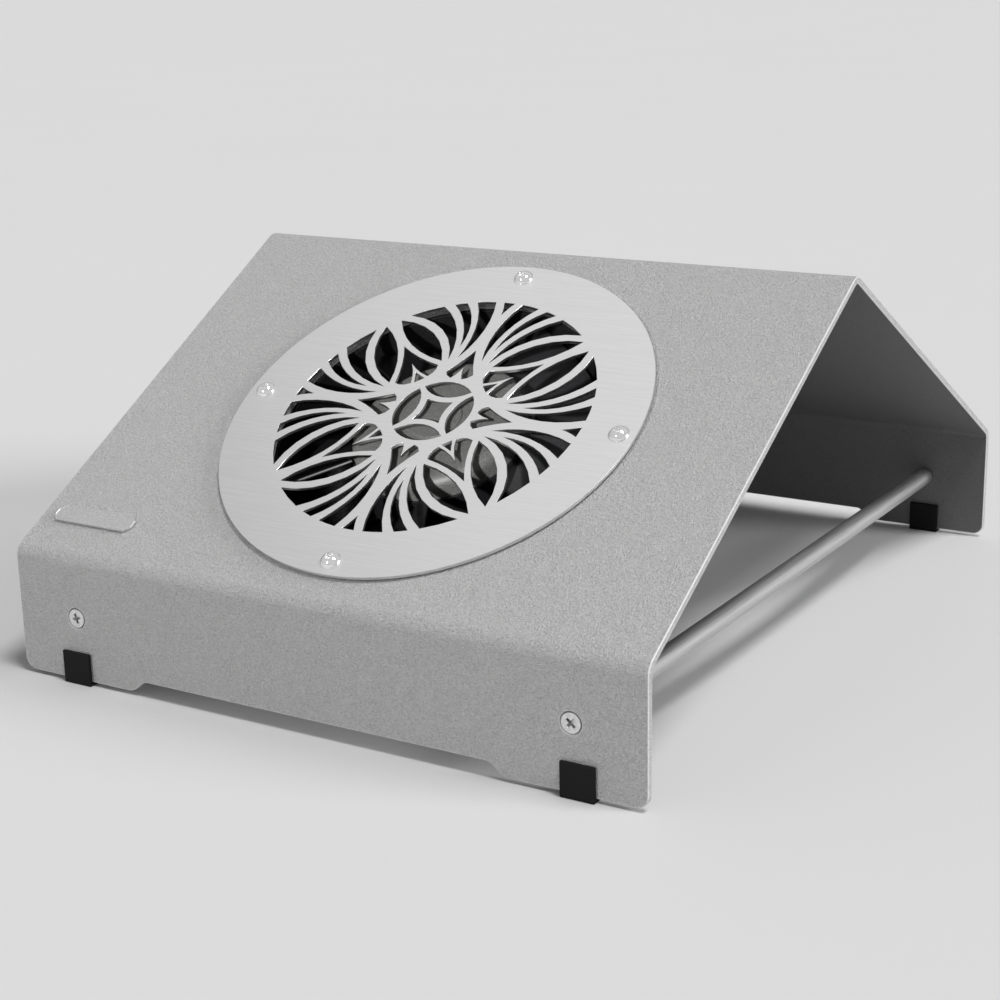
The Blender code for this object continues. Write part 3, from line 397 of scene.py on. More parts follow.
def ribbed_metal(name, dark, light, roughness, pitch, direction, rotation):
    made, tree, shader = new_material(name, roughness, 1.0)
    lines = add_node(tree, "ShaderNodeTexWave", {"Vector": surface_point(tree, rotation=rotation)},
                     {"Scale": math.tau / 20 / pitch, "Distortion": 0.6, "Detail": 1.0},
                     bands_direction=direction).outputs["Fac"]
    tree.links.new(blend_colours(tree, lines, dark, light), shader.inputs["Base Color"])
    bump(tree, shader, lines, 0.4, 0.12 * MM)
    return made


laminations = ribbed_metal("stacked_electrical_steel", "#4B4846", "#7C7875", 0.45, 0.5 * MM, "Z",
                           level_with_slope)
copper_wire = ribbed_metal("enamelled_copper_wire", "#8A4A22", "#C87941", 0.32, 0.7 * MM, "X",
                           level_with_slope)

# %% [markdown]
# ## Filter cloth
#
# The bag is dense woven polyester. Threads cross about every 0.8 mm, drawn here at 1.6 mm
# so that they show. The weave follows the bag's own unwrapped surface, so two Wave
# textures read its UV map, in metres, and meet at right angles.

# %% Woven polyester
cloth, tree, shader = new_material("woven_polyester_filter_cloth", 0.88, Sheen_Weight=0.25,
                                   Sheen_Roughness=0.5)
uv = add_node(tree, "ShaderNodeUVMap", uv_map="weave").outputs["UV"]
thread = {"Scale": math.tau / 20 / (1.6 * MM), "Distortion": 0.8, "Detail": 1.0}
warp = add_node(tree, "ShaderNodeTexWave", {"Vector": uv}, thread, bands_direction="X").outputs["Fac"]
weft = add_node(tree, "ShaderNodeTexWave", {"Vector": uv}, thread, bands_direction="Y").outputs["Fac"]
weave = add_node(tree, "ShaderNodeMath", {0: warp, 1: weft}, operation="MULTIPLY").outputs[0]
tree.links.new(blend_colours(tree, weave, "#232327", "#3B3B41"), shader.inputs["Base Color"])
bump(tree, shader, weave, 0.5, 0.3 * MM)
print("materials:", len(bpy.data.materials))


# %% [markdown]
# ## Handing a piece over
#
# Each new piece gets its material, rides on its body and hides the plain part that it stands
# for. A piece with several materials has them already, so it is handed over with none.


# %% Finishing a piece
def hand_over(piece, material, body, slot, *nodes):
    if material:
        piece.data.materials.clear()
        piece.data.materials.append(material)
    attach(piece, body)
    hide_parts(*nodes)


# %% [markdown]
# ## The folded plate
#
# The real housing is one flat blank, bent three times. A solid block would have to be
# hollowed out, so it is built the way a press brake makes it: a single wall, extruded edge
# by edge into the roof shape, its bends rounded, and then given the sheet's thickness.

# %% Fold the sheet
bpy.ops.object.select_all(action="DESELECT")
bpy.ops.mesh.primitive_plane_add(size=1, location=(0, FRONT_Y, LOWER_EDGE + WALL_HEIGHT / 2),
                                 rotation=(math.pi / 2, 0, 0))
housing = bpy.context.object
housing.name = "housing_plate"
housing.scale = (WIDTH, WALL_HEIGHT, 1)
bpy.ops.object.transform_apply(location=True, rotation=True, scale=True)
wall_top = LOWER_EDGE + WALL_HEIGHT
start_edit(housing, "EDGE")
pick("edges", lambda edge: all(v.co.z > wall_top - MM for v in edge.verts))
for step in ((0, DEPTH / 2, RISE), (0, DEPTH / 2, -RISE), (0, 0, -WALL_HEIGHT)):
    bpy.ops.mesh.extrude_region_move(TRANSFORM_OT_translate={"value": step})
bends = pick("edges", lambda edge: len(edge.link_faces) == 2)
bpy.ops.mesh.bevel(offset_type="OFFSET", offset=BEND_RADIUS * math.tan(SLOPE_ANGLE), segments=12,
                   profile=0.5, affect="EDGES")
print("bends:", bends)

# %% Round the four lower corners and give the sheet its thickness
CORNER_RADIUS = 5.5 * MM
bpy.ops.mesh.select_mode(type="VERT")
corners = pick("verts", lambda vert: vert.co.z < LOWER_EDGE + MM / 10)
bpy.ops.mesh.bevel(offset_type="OFFSET", offset=CORNER_RADIUS, segments=8, profile=0.5, affect="VERTICES")
bpy.ops.mesh.select_all(action="SELECT")
bpy.ops.mesh.normals_make_consistent(inside=False)
end_edit()
front_face = min(housing.data.polygons, key=lambda face: face.center.y)
if front_face.normal.y > 0:
    start_edit(housing)
    bpy.ops.mesh.select_all(action="SELECT")
    bpy.ops.mesh.flip_normals()
    end_edit()
for coat in (powder_coat, painted_shade_inner_coat, painted_highlight_edge_coat):
    housing.data.materials.append(coat)
# The material offset gives the inner faces the second slot, the darker coat of painted shade.
modify(housing, "SOLIDIFY", thickness=PLATE, offset=-1, use_even_offset=True, material_offset=1)
print("lower corners:", corners, "size in mm:", [round(v / MM, 1) for v in housing.dimensions])


# %% [markdown]
# ## Holes in the plate
#
# The fan opening and the screw holes are lasered, and the wall screws sit in cone-shaped
# countersinks. Each cutter starts as a primitive in its face's own frame and is taken away
# with a Boolean.


# %% Round holes and countersinks
def drill(radius, x, y, face, vertices=40):
    bpy.ops.object.select_all(action="DESELECT")
    bpy.ops.mesh.primitive_cylinder_add(vertices=vertices, radius=radius, depth=20 * MM, location=(x, y, 0))
    cut(housing, place(bpy.context.object, face))


drill(76 * MM, 0, 0, SLOPE, 160)
for degrees in SCREW_TURNS.values():
    drill(2.8 * MM, *(turned(degrees) @ Vector((SCREW_CIRCLE, 0, 0))).xy, SLOPE)

for face in (FRONT, REAR):
    for x in (-ROD_X, ROD_X):
        bpy.ops.object.select_all(action="DESELECT")
        bpy.ops.mesh.primitive_cone_add(vertices=48, radius1=2.8 * MM, radius2=4.8 * MM, depth=2.6 * MM,
                                        location=(x, ROD_HEIGHT, -1.7 * MM))
        sink = bpy.context.object
        start_edit(sink)
        pick("faces", lambda part: part.normal.z > 0.9)
        bpy.ops.mesh.extrude_region_move(TRANSFORM_OT_translate={"value": (0, 0, 2 * MM)})
        pick("faces", lambda part: part.normal.z < -0.9)
        bpy.ops.mesh.extrude_region_move(TRANSFORM_OT_translate={"value": (0, 0, -3 * MM)})
        end_edit()
        cut(housing, place(sink, face))

# %% Openings for the inlet and the switch
INLET_X, SWITCH_X, PANEL_HEIGHT = -80 * MM, -42 * MM, 31 * MM
for x, width, height in ((INLET_X, 28.2 * MM, 21.2 * MM), (SWITCH_X, 15.8 * MM, 23.2 * MM)):
    bpy.ops.object.select_all(action="DESELECT")
    bpy.ops.mesh.primitive_cube_add(size=1, location=(-x, PANEL_HEIGHT, 0), scale=(width, height, 16 * MM))
    cut(housing, place(bpy.context.object, REAR))
for side in (-1, 1):
    drill(1.9 * MM, -INLET_X + side * 20 * MM, PANEL_HEIGHT, REAR, 32)

# %% The notch between the feet, front and rear
NOTCH_HEIGHT = 5.5 * MM
bpy.ops.object.select_all(action="DESELECT")
bpy.ops.mesh.primitive_cube_add(size=1, location=(0, 0, LOWER_EDGE + NOTCH_HEIGHT / 2 - MM),
                                scale=(178 * MM, 0.5, NOTCH_HEIGHT + 2 * MM))
notch = place(bpy.context.object, Matrix.Identity(4))
start_edit(notch)
pick("faces", lambda part: part.normal.z < -0.9)
bpy.ops.transform.resize(value=(194.6 / 178, 1, 1))
bpy.ops.mesh.select_mode(type="EDGE")
pick("edges", lambda edge: all(v.co.z > LOWER_EDGE + 5 * MM for v in edge.verts)
     and abs(edge.verts[0].co.x - edge.verts[1].co.x) < MM)
bpy.ops.mesh.bevel(offset_type="OFFSET", offset=2 * MM, segments=5, affect="EDGES")
end_edit()
cut(housing, notch)
start_edit(housing, "EDGE")
notch_corners = pick("edges", lambda edge: abs(edge.verts[0].co.y - edge.verts[1].co.y) > PLATE / 2 and all(
    abs(v.co.z - LOWER_EDGE) < MM / 10 and 85 * MM < abs(v.co.x) < 100 * MM for v in edge.verts))
bpy.ops.mesh.bevel(offset_type="OFFSET", offset=2.5 * MM, segments=6, affect="EDGES")
end_edit()
print("rounded corners of the notch:", notch_corners)

# %% [markdown]
# ## Edges that catch the light
#
# Powder lies thick on a cut edge and rounds it. Without this the plate would look like
# paper. A Bevel of half a millimetre with three steps rounds every cut edge and gives its new
# faces the lighter edge coat, a painted highlight, and weighted normals keep the big faces flat.

# %% Round the plate's edges and hand it over
# material=2 gives the bevel faces the lighter edge coat, a painted highlight.
round_edges(housing, 0.45 * MM, 3, material=2)
modify(housing, "TRIANGULATE", min_vertices=5)
smooth(housing)
hand_over(housing, None, "base", "powder_coat", "housing")
print("housing faces:", len(housing.data.polygons))


# %% [markdown]
# ## Parts whose shape is already right
#
# Many parts need no new shape, only finer edges: the cut grille, the fan's casting, the
# nuts, the inlet. Each part's mesh is loose triangles, so a copy is merged, its flat faces
# are joined, and its edges get a small round.


# %% Refined copies
def refined(node, name, width, segments=2, angle=35):
    made = bpy.data.objects.new(name, frame["nodes"][node].data.copy())
    bpy.context.scene.collection.objects.link(made)
    start_edit(made)
    bpy.ops.mesh.select_all(action="SELECT")
    bpy.ops.mesh.remove_doubles(threshold=0.01 * MM)
    bpy.ops.mesh.dissolve_limited(angle_limit=math.radians(1))
    end_edit()
    if width:
        round_edges(made, width, segments, angle)
    smooth(made)
    return made


grille = refined("grille", "grille_plate", 0.16 * MM)
hand_over(grille, stainless, "base", "brushed_stainless", "grille")
print("grille faces:", len(grille.data.polygons))

# %% Carry the other refined parts over
REFINED = {
    "fan_frame": (0.5, cast_paint, "black_casting"),
    "terminal_block": (0.5, nylon, "black_plastic"),
    "inlet_shell": (0.3, nylon, "black_plastic"),
    "switch_frame": (0.3, nylon, "black_plastic"),
    "switch_rocker": (0.3, gloss_abs, "rocker_plastic"),
    "bag_band": (0.4, rubber, "black_rubber"),
    "grille_gasket": (0, rubber, "black_rubber"),
    "stator_core": (0.2, laminations, "lamination"),
    "rotor_cage": (0.2, laminations, "lamination"),
    "rotor_shaft": (0.3, zinc, "steel"),
    "shaft_clip": (0.1, zinc, "steel"),
    "bearing_upper": (0.2, zinc, "steel"),
    "bearing_lower": (0.2, zinc, "steel"),
    "fan_lead": (0, cable_pvc, "lead_jacket"),
}
for name in ("upper", "lower"):
    REFINED[f"lead_clip_{name}"] = (0.4, nylon, "black_plastic")
for number in range(1, 5):
    REFINED[f"stator_coil_{number}"] = (1.2, copper_wire, "copper")
for side in SCREW_TURNS:
    REFINED[f"grille_nut_{side}"] = (0.3, zinc, "steel")
for side in ("left", "right"):
    REFINED[f"inlet_nut_{side}"] = (0.2, zinc, "steel")
    REFINED[f"inlet_screw_{side}"] = (0.2, zinc, "steel")
for name in ("live", "neutral"):
    REFINED[f"terminal_tab_{name}"] = (0.15, brass, "brass")
for name in ("live", "neutral", "earth"):
    REFINED[f"inlet_pin_{name}"] = (0.35, brass, "brass")
for name in ("upper", "lower"):
    REFINED[f"switch_tab_{name}"] = (0.15, brass, "brass")
body_of_node = {node: body for body, nodes in frame["record"]["behaviour"]["bodies"].items()
                for node in nodes}
for node, (width, material, slot) in REFINED.items():
    hand_over(refined(node, f"{node}_detail", width * MM), material, body_of_node[node], slot, node)
print("refined parts:", len(REFINED) + 1)

# %% [markdown]
# ## Button-head screws
#
# The grille is held by four M5 button heads: a low dome with a hexagon socket. A dome is
# part of a ball, so a sphere is bisected, its flat side is extruded for the rim and the
# shank, and a six-sided cylinder cuts the socket.

# %% Model one button-head screw
HEAD_RADIUS, HEAD_HEIGHT = 4.6 * MM, 2.6 * MM
ball = (HEAD_RADIUS ** 2 + HEAD_HEIGHT ** 2) / (2 * HEAD_HEIGHT)
bpy.ops.object.select_all(action="DESELECT")
bpy.ops.mesh.primitive_uv_sphere_add(segments=64, ring_count=48, radius=ball,
                                     location=(0, 0, HEAD_HEIGHT - ball))
button = bpy.context.object
bpy.ops.object.transform_apply(location=True, rotation=True, scale=True)
start_edit(button)
bpy.ops.mesh.select_all(action="SELECT")
bpy.ops.mesh.bisect(plane_co=(0, 0, 0), plane_no=(0, 0, 1), use_fill=True, clear_inner=True)
pick("faces", lambda part: part.normal.z < -0.9)
bpy.ops.mesh.extrude_region_move(TRANSFORM_OT_translate={"value": (0, 0, -0.25 * MM)})
bpy.ops.mesh.inset(thickness=HEAD_RADIUS - 2.5 * MM)
bpy.ops.mesh.extrude_region_move(TRANSFORM_OT_translate={"value": (0, 0, -14 * MM)})
end_edit()
bpy.ops.object.select_all(action="DESELECT")
bpy.ops.mesh.primitive_cylinder_add(vertices=6, radius=3 * MM / math.sqrt(3), depth=3 * MM,
                                    location=(0, 0, HEAD_HEIGHT + 0.1 * MM))
cut(button, place(bpy.context.object, turned(12)))
round_edges(button, 0.12 * MM, 2, 30)
smooth(button)
print("button screw faces:", len(button.data.polygons))

# %% Set the four screws on the grille
GRILLE_TOP = 2.5 * MM
for side, degrees in SCREW_TURNS.items():
    x, y = (turned(degrees) @ Vector((SCREW_CIRCLE, 0, 0))).xy
    spot = SLOPE @ Matrix.Translation((x, y, GRILLE_TOP + 0.3 * MM)) @ turned(degrees * 0.37)
    hand_over(copied(button, f"button_screw_{side}", spot), chrome, "base", "chrome", f"grille_screw_{side}")
bpy.data.objects.remove(button)

# %% [markdown]
# ## Countersunk cross-recess screws
#
# The tie rods are pulled against the walls by flat-head screws. The head is a short
# cylinder over a cone. Its recess is a cross that narrows downwards, so each arm of the
# cutter is a cube with a smaller lower face.

# %% Model one countersunk screw
FLAT_RADIUS = 4.3 * MM
bpy.ops.object.select_all(action="DESELECT")
bpy.ops.mesh.primitive_cylinder_add(vertices=64, radius=FLAT_RADIUS, depth=0.35 * MM,
                                    location=(0, 0, -0.275 * MM))
flat_screw = place(bpy.context.object, Matrix.Identity(4))
start_edit(flat_screw)
pick("faces", lambda part: part.normal.z < -0.9)
bpy.ops.mesh.extrude_region_move(TRANSFORM_OT_translate={"value": (0, 0, -2.1 * MM)})
bpy.ops.transform.resize(value=(2.4 * MM / FLAT_RADIUS, 2.4 * MM / FLAT_RADIUS, 1))
bpy.ops.mesh.extrude_region_move(TRANSFORM_OT_translate={"value": (0, 0, -9.4 * MM)})
end_edit()
for degrees in (0, 90):
    bpy.ops.object.select_all(action="DESELECT")
    bpy.ops.mesh.primitive_cube_add(size=1, scale=(5.0 * MM, 1.25 * MM, 3.4 * MM), location=(0, 0, -1.4 * MM))
    arm = place(bpy.context.object, Matrix.Identity(4))
    start_edit(arm)
    pick("faces", lambda part: part.normal.z < -0.9)
    bpy.ops.transform.resize(value=(0.6, 0.8, 1))
    end_edit()
    cut(flat_screw, place(arm, turned(degrees)))
round_edges(flat_screw, 0.12 * MM, 2, 30)
smooth(flat_screw)

# %% Set the four wall screws
for facing, face in (("front", FRONT), ("rear", REAR)):
    for side, sign in (("left", -1), ("right", 1)):
        x = sign * ROD_X if facing == "front" else -sign * ROD_X
        spot = face @ Matrix.Translation((x, ROD_HEIGHT, 0)) @ turned(18 + 31 * (sign + 1) / 2)
        name = f"rod_screw_{facing}_{side}"
        hand_over(copied(flat_screw, f"{name}_detail", spot), zinc, "base", "steel", name)
bpy.data.objects.remove(flat_screw)

# %% [markdown]
# ## Tie rods
#
# Each rod is drawn bar with a threaded hole in both ends and a turned chamfer. A cylinder
# has its ends inset and pushed in for the holes, and its outer rims bevelled.

# %% Model and place the tie rods
ROD_RADIUS = 4.5 * MM
rod_length = DEPTH - 2 * PLATE - 0.6 * MM
for side, x in (("left", -ROD_X), ("right", ROD_X)):
    bpy.ops.object.select_all(action="DESELECT")
    bpy.ops.mesh.primitive_cylinder_add(vertices=64, radius=ROD_RADIUS, depth=rod_length,
                                        end_fill_type="NGON")
    rod = bpy.context.object
    rod.name = f"tie_rod_{side}_bar"
    start_edit(rod)
    for sign in (-1, 1):
        pick("faces", lambda part: part.normal.z * sign > 0.9)
        bpy.ops.mesh.inset(thickness=ROD_RADIUS - 2.8 * MM)
        bpy.ops.mesh.extrude_region_move(TRANSFORM_OT_translate={"value": (0, 0, -sign * 14 * MM)})
    end_edit()
    round_edges(rod, 0.45 * MM, 2)
    smooth(rod)
    lying = Matrix.Translation((x, MIDDLE_Y, LOWER_EDGE + ROD_HEIGHT)) @ turned(90, "X")
    hand_over(place(rod, lying), rod_steel, "base", "rod_steel", f"tie_rod_{side}")

# %% [markdown]
# ## Rubber clips for feet
#
# A foot is a strip of rubber channel pushed over the plate's lower edge. It is folded like
# the plate: one leg, then the sole, then the other leg, given a thickness, and rounded.

# %% Model one clip and place four
FOOT_X, FRONT_RIGHT_FOOT_X = 126.3 * MM, 129.2 * MM
FOOT_WIDTH, FOOT_LEG, RUBBER = 15.5 * MM, 13.5 * MM, 1.7 * MM
AIR = 0.3 * MM
leg = FOOT_LEG + LOWER_EDGE
bpy.ops.object.select_all(action="DESELECT")
bpy.ops.mesh.primitive_plane_add(size=1, rotation=(math.pi / 2, 0, 0), location=(0, -AIR - RUBBER, leg / 2))
clip = bpy.context.object
clip.scale = (FOOT_WIDTH, leg, 1)
bpy.ops.object.transform_apply(location=True, rotation=True, scale=True)
start_edit(clip, "EDGE")
pick("edges", lambda edge: all(v.co.z < MM for v in edge.verts))
for step in ((0, PLATE + 2 * (AIR + RUBBER), 0), (0, 0, leg)):
    bpy.ops.mesh.extrude_region_move(TRANSFORM_OT_translate={"value": step})
bpy.ops.mesh.select_all(action="SELECT")
bpy.ops.mesh.normals_make_consistent(inside=False)
end_edit()
outer_leg = min(clip.data.polygons, key=lambda face: face.center.y)
modify(clip, "SOLIDIFY", thickness=RUBBER, offset=-1 if outer_leg.normal.y < 0 else 1, use_even_offset=True)
round_edges(clip, 0.6 * MM, 4)
smooth(clip)
for name, x, y, turn in (("front_left", -FOOT_X, FRONT_Y, 0), ("front_right", FRONT_RIGHT_FOOT_X, FRONT_Y, 0),
                         ("rear_left", -FOOT_X, REAR_Y, 180), ("rear_right", FOOT_X, REAR_Y, 180)):
    spot = Matrix.Translation((x, y, 0)) @ turned(turn)
    hand_over(copied(clip, f"foot_{name}_clip", spot), rubber, "base", "black_rubber", f"foot_{name}")
print("foot size in mm:", [round(v / MM, 1) for v in clip.dimensions])
bpy.data.objects.remove(clip)

# %% [markdown]
# ## Nameplate
#
# A small stamped plate with cut corners, left blank. A cube is bevelled at its four upright
# edges with a single flat step, and its top face is inset and sunk for the stamped border.

# %% Model the nameplate
bpy.ops.object.select_all(action="DESELECT")
bpy.ops.mesh.primitive_cube_add(size=1, scale=(45 * MM, 9.6 * MM, 1.2 * MM),
                                location=(-131.5 * MM, -90.8 * MM, 0.9 * MM))
nameplate = place(bpy.context.object, Matrix.Identity(4))
nameplate.name = "nameplate_blank"
start_edit(nameplate, "EDGE")
pick("edges", lambda edge: abs(edge.verts[0].co.z - edge.verts[1].co.z) > 0.5 * MM)
bpy.ops.mesh.bevel(offset_type="OFFSET", offset=2.8 * MM, segments=1, affect="EDGES")
bpy.ops.mesh.select_mode(type="FACE")
pick("faces", lambda part: part.normal.z > 0.9)
bpy.ops.mesh.inset(thickness=0.8 * MM)
bpy.ops.mesh.extrude_region_move(TRANSFORM_OT_translate={"value": (0, 0, -0.25 * MM)})
end_edit()
round_edges(nameplate, 0.15 * MM, 2)
smooth(nameplate)
hand_over(place(nameplate, SLOPE), plate_metal, "base", "nameplate_metal", "nameplate")

# %% [markdown]
# ## The fan's rotor cup
#
# The motor turns inside out: its outer cup spins, with the blades on it. The cup is a drawn
# shell with a soft shoulder and a low boss in the middle. A cylinder's top is inset for the
# boss, its rim bevelled for the shoulder, and its underside pushed up to hollow it.

# %% Model the rotor cup
CUP_RADIUS, CUP_TOP, CUP_LOW = 40.5 * MM, -3 * MM, -33 * MM
bpy.ops.object.select_all(action="DESELECT")
bpy.ops.mesh.primitive_cylinder_add(vertices=128, radius=CUP_RADIUS, depth=CUP_TOP - CUP_LOW,
                                    location=(0, 0, (CUP_TOP + CUP_LOW) / 2))
cup = place(bpy.context.object, Matrix.Identity(4))
cup.name = "rotor_cup_shell"
start_edit(cup)
pick("faces", lambda part: part.normal.z < -0.9)
for inset, push in ((1.6, 28), (30.9, -5.5), (4.7, 6.5)):
    bpy.ops.mesh.inset(thickness=inset * MM)
    bpy.ops.mesh.extrude_region_move(TRANSFORM_OT_translate={"value": (0, 0, push * MM)})
bpy.ops.mesh.select_mode(type="EDGE")
pick("edges", lambda edge: all(v.co.z > CUP_TOP - MM / 10 and v.co.xy.length > CUP_RADIUS - MM
                               for v in edge.verts))
bpy.ops.mesh.bevel(offset_type="OFFSET", offset=5 * MM, segments=10, affect="EDGES")
bpy.ops.mesh.select_mode(type="FACE")
pick("faces", lambda part: part.normal.z > 0.9 and part.calc_center_median().xy.length < MM
     and part.calc_area() > 0.001)
bpy.ops.mesh.inset(thickness=35.5 * MM - 12 * MM)
bpy.ops.mesh.extrude_region_move(TRANSFORM_OT_translate={"value": (0, 0, 0.8 * MM)})
end_edit()
round_edges(cup, 0.3 * MM, 3)
smooth(cup)
hand_over(place(cup, SLOPE), speckled, "rotor", "speckled_paint", "rotor_cup")
print("cup faces:", len(cup.data.polygons))

# %% [markdown]
# ## Blades
#
# Each blade is a twisted, slightly cambered leaf from the cup's band to its free tip. No
# simple operator twists and cambers at once, so a flat grid is laid out in code, given its
# thickness, rounded, and joined to the band with a Boolean. The first is copied to five.

# %% Model one blade
BLADE_ROOT, BLADE_TIP, BLADE_THICKNESS = 41.3 * MM, 73 * MM, 1.6 * MM
BLADE_TOP, BLADE_LOW = -8 * MM, -34 * MM
BLADE_START, BLADE_SPAN = math.radians(148), math.radians(50)


def blade_point(out, along):
    """A point of the blade: out runs from root to tip, along from leading to trailing edge."""
    radius = BLADE_ROOT + (BLADE_TIP - BLADE_ROOT) * out
    angle = BLADE_START - BLADE_SPAN * along * (1 - 0.12 * out)
    fall = (along + 0.35 * along * (1 - along)) * (1 - 0.1 * out)
    return Vector((radius * math.cos(angle), radius * math.sin(angle),
                   BLADE_TOP + (BLADE_LOW - BLADE_TOP) * fall))


bpy.ops.object.select_all(action="DESELECT")
bpy.ops.mesh.primitive_grid_add(x_subdivisions=12, y_subdivisions=28, size=1)
blade = bpy.context.object
for vert in blade.data.vertices:
    vert.co = blade_point(vert.co.x + 0.5, vert.co.y + 0.5)
modify(blade, "SOLIDIFY", thickness=BLADE_THICKNESS, offset=0)
round_edges(blade, 0.55 * MM, 3, 60)

# %% The band, with five blades joined to it
bpy.ops.object.select_all(action="DESELECT")
bpy.ops.mesh.primitive_cylinder_add(vertices=160, radius=42.2 * MM, depth=20 * MM, location=(0, 0, -23 * MM))
impeller = place(bpy.context.object, Matrix.Identity(4))
impeller.name = "impeller_moulding"
bpy.ops.object.select_all(action="DESELECT")
bpy.ops.mesh.primitive_cylinder_add(vertices=160, radius=40.8 * MM, depth=30 * MM, location=(0, 0, -23 * MM))
cut(impeller, place(bpy.context.object, Matrix.Identity(4)))
for number in range(5):
    cut(impeller, copied(blade, f"blade_{number}", turned(72 * number)), "UNION")
bpy.data.objects.remove(blade)
smooth(impeller)
hand_over(place(impeller, SLOPE), nylon, "rotor", "black_plastic", "impeller")
print("impeller faces:", len(impeller.data.polygons))

# %% [markdown]
# ## The cloth bag
#
# The bag's round neck grips the fan's duct, and its belly sags to the table. It is lofted: a
# ring is extruded down station by station, tilting from the slope's angle to level, and its
# end is gathered to a point. A subdivision then makes it one continuous curve.

# %% Loft the bag
STATIONS = [
    ((2.8, -84.2, 86), 30, 80.7, 80.7), ((2.8, -80.7, 79.8), 30, 80.7, 80.7),
    ((2.8, -81.5, 66), 24, 80.5, 81.5),
    ((2.8, -76.5, 44), 13, 79.5, 82.5), ((2.8, -72.5, 25), 4, 74.0, 78.5), ((2.8, -72.5, 12), 0, 66.0, 70.5),
    ((2.8, -72.5, 6.2), 0, 55.0, 59.0), ((2.8, -72.5, 5.0), 0, 38.0, 41.0),
    ((2.8, -72.5, 4.9), 0, 18.0, 19.0),
]
first_centre = SLOPE @ Vector((0, 0, -27 * MM))
bpy.ops.object.select_all(action="DESELECT")
bpy.ops.mesh.primitive_circle_add(vertices=48, radius=80.7 * MM, fill_type="NOTHING", location=first_centre,
                                  rotation=(SLOPE_ANGLE, 0, 0))
bag = place(bpy.context.object, Matrix.Identity(4))
bag.name = "dust_bag_cloth"
start_edit(bag, "VERT")
bpy.ops.mesh.select_all(action="SELECT")
centre, tilt, half_x, half_y = first_centre, math.radians(30), 80.7 * MM, 80.7 * MM
for spot, degrees, wide, deep in STATIONS:
    goal = Vector(spot) * MM
    bpy.ops.mesh.extrude_region_move(TRANSFORM_OT_translate={"value": goal - centre})
    shape = bmesh.from_edit_mesh(bag.data)
    level = Matrix.Rotation(-tilt, 3, "X")
    lean = Matrix.Rotation(math.radians(degrees), 3, "X")
    ratio = Vector((wide * MM / half_x, deep * MM / half_y, 1))
    for vert in shape.verts:
        if vert.select:
            vert.co = goal + lean @ ((level @ (vert.co - goal)) * ratio)
    bmesh.update_edit_mesh(bag.data)
    centre, tilt, half_x, half_y = goal, math.radians(degrees), wide * MM, deep * MM
bpy.ops.mesh.extrude_region_move(TRANSFORM_OT_translate={"value": (0, 0, 0)})
bpy.ops.mesh.merge(type="CENTER")
end_edit()
modify(bag, "SUBSURF", levels=2, render_levels=2)

# %% [markdown]
# Cloth that is held tight at its neck gathers into small pleats, which open out below, and
# the belly has a few slow creases. Both are moves of the points along the surface's
# normal, a few millimetres deep. The weave needs a map of the cloth, so each point gets its
# way round and its way down in metres.


# %% Pleats, creases, thickness and the map for the weave
def bag_fold(spot):
    round_angle = math.atan2(spot.x - FAN_RIGHT, spot.y + 74 * MM)
    below = (SLOPE.inverted() @ spot).z
    free = max(0.0, min(1.0, (-44 * MM - below) / (8 * MM)))
    pleat = free * max(0.0, 1 - max(0.0, -50 * MM - below) / (45 * MM))
    small = 0.9 * math.cos(34 * round_angle + 0.7 * math.sin(5 * round_angle)) * pleat
    belly = free * math.sin(math.pi * max(0.0, min(1.0, spot.z / (80 * MM))))
    slow = 1.4 * math.sin(6 * round_angle + 40 * spot.z) * belly
    return (small + slow - 1.6 * max(pleat, belly)) * MM


start_normals = [(vert.co.copy(), vert.normal.copy()) for vert in bag.data.vertices]
outward = 1 if sum(n.dot(c - Vector((2.8, -74, 60)) * MM) for c, n in start_normals) > 0 else -1
for vert, (spot, normal) in zip(bag.data.vertices, start_normals):
    if spot.z > 8 * MM:
        vert.co = spot + normal * outward * bag_fold(spot)
start_edit(bag)
bpy.ops.mesh.select_all(action="SELECT")
bpy.ops.mesh.normals_make_consistent(inside=False)
end_edit()
low_face = min(bag.data.polygons, key=lambda face: face.center.z)
modify(bag, "SOLIDIFY", thickness=1.0 * MM, offset=-1 if low_face.normal.z < 0 else 1)
weave_map = bag.data.uv_layers.new(name="weave")
for polygon in bag.data.polygons:
    for loop in polygon.loop_indices:
        spot = bag.data.vertices[bag.data.loops[loop].vertex_index].co
        way_round = math.atan2(spot.x - FAN_RIGHT, spot.y + 74 * MM)
        if polygon.center.x < FAN_RIGHT and polygon.center.y < -74 * MM and way_round > 0:
            way_round -= math.tau
        flat = abs(polygon.normal.z) > 0.8
        weave_map.data[loop].uv = (spot.x, spot.y) if flat else (way_round * 75 * MM, spot.z)
smooth(bag, 60)
hand_over(bag, cloth, "base", "bag_cloth", "dust_bag")
print("bag size in mm:", [round(v / MM, 1) for v in bag.dimensions])

# %% [markdown]
# ## Floor, camera and light
#
# A pale floor reaches far behind the object, so it fills the view. The camera stands to the
# right, a little above the slope. A sky that is palest at the horizon fills the shadows. A
# soft lamp overhead lights the slope, one in front lights the wall, and one at the side
# reaches under the fold. Four more shine on single parts only: one behind and a broad one
# above, which the brushed grille mirrors, a bright sky for the chrome to mirror, and a low
# one that throws the grille's crisp shadow on the fan.

# %% Floor
bpy.ops.object.select_all(action="DESELECT")
bpy.ops.mesh.primitive_plane_add(size=240)
floor = bpy.context.object
floor.name = "studio_floor"
floor_paint, tree, shader = new_material("matte_studio_floor", 0.9)
tone = noise(tree, surface_point(tree), 0.4)
tree.links.new(blend_colours(tree, tone, "#D5D5D5", "#D7D7D7"), shader.inputs["Base Color"])
floor.data.materials.append(floor_paint)

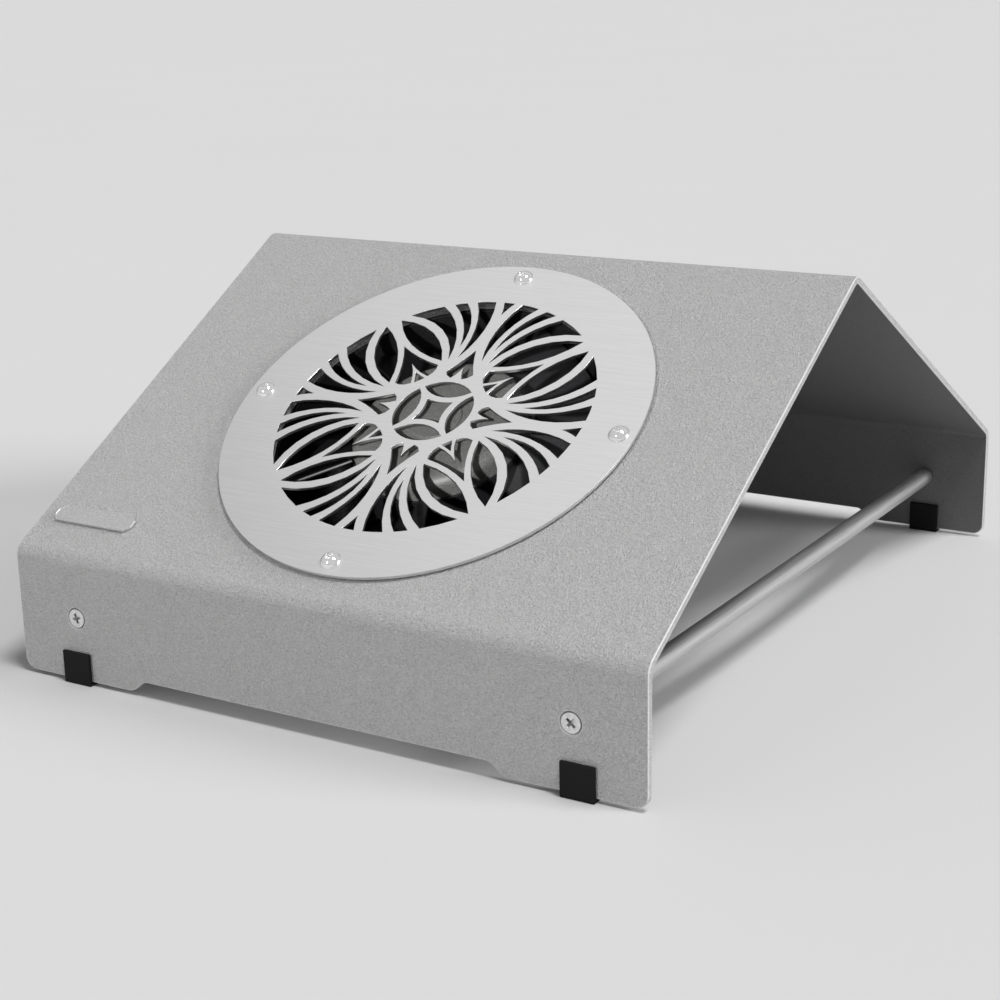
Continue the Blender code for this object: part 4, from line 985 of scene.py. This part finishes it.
# %% Camera
eye = Vector((467.97, -605.10, 319.70)) * MM + Vector((0, FRONT_Y, LOWER_EDGE))
right, up, back = ((0.85508, 0.51809, -0.02032), (-0.12786, 0.24868, 0.96011), (0.50248, -0.81838, 0.27889))
camera_data = bpy.data.cameras.new("studio_camera")
camera_data.lens = 70.85
camera_data.sensor_width = 36
camera = bpy.data.objects.new("studio_camera", camera_data)
camera.matrix_world = Matrix.Translation(eye) @ Matrix((right, up, back)).transposed().to_4x4()
bpy.context.scene.collection.objects.link(camera)
bpy.context.scene.camera = camera

# %% Sky and lamps
world = bpy.data.worlds.new("studio_sky")
bpy.context.scene.world = world
world.use_nodes = True
sky = world.node_tree
background = sky.nodes["Background"]
background.inputs["Color"].default_value = (1, 1, 1, 1)
direction = add_node(sky, "ShaderNodeTexCoord").outputs["Generated"]
height = add_node(sky, "ShaderNodeSeparateXYZ", {"Vector": direction}).outputs["Z"]
sky.links.new(between(sky, height, 0, 0.3, 0.7, 0.27), background.inputs["Strength"])
bpy.context.scene.view_settings.view_transform = "Standard"


def hang_lamp(name, direction, strength, softness, pieces=(), state="INCLUDE"):
    """A far lamp that shines from a direction, on all pieces, on some, or on all but some."""
    data = bpy.data.lights.new(name, "SUN")
    data.energy = strength
    data.angle = math.radians(softness)
    lamp = bpy.data.objects.new(name, data)
    lamp.rotation_euler = Vector(direction).to_track_quat("Z", "Y").to_euler()
    bpy.context.scene.collection.objects.link(lamp)
    if pieces:
        group = bpy.data.collections.new(f"{name}_pieces")
        for piece in pieces:
            group.objects.link(piece)
        for item in group.collection_objects:
            item.light_linking.link_state = state
        lamp.light_linking.receiver_collection = group
    return lamp


def low_from(azimuth, elevation):
    """A direction by its angle right of the front and its height above the floor, in degrees."""
    a, e = math.radians(azimuth), math.radians(elevation)
    return math.sin(a) * math.cos(e), -math.cos(a) * math.cos(e), math.sin(e)


in_the_fan = [piece for piece in bpy.data.objects if piece.name.startswith((
    "rotor_", "impeller_", "fan_frame", "stator_", "bearing_", "shaft_", "terminal_"))]
bright_metal = [piece for piece in bpy.data.objects if piece.name.startswith((
    "grille_plate", "button_screw", "nameplate_blank"))]
polished = [piece for piece in bright_metal if piece.name.startswith("button_screw")]
hang_lamp("overhead_softbox", (0.4, -0.1, 1), 1.78, 16, in_the_fan, "EXCLUDE")
hang_lamp("front_softbox", low_from(-15, 30), 1.05, 6, [*in_the_fan, floor], "EXCLUDE")
hang_lamp("side_softbox", low_from(103, 20), 2.3, 22, in_the_fan, "EXCLUDE")
hang_lamp("rear_softbox", (-0.38, 0.23, 0.9), 0.15, 34, bright_metal)
hang_lamp("metal_softbox", (0, -0.3, 1), 0.5, 150, bright_metal)
hang_lamp("sky_softbox", (0, 0, 1), 0.5, 150, polished)
hang_lamp("fan_lamp", low_from(11, 14), 6.0, 3, in_the_fan)
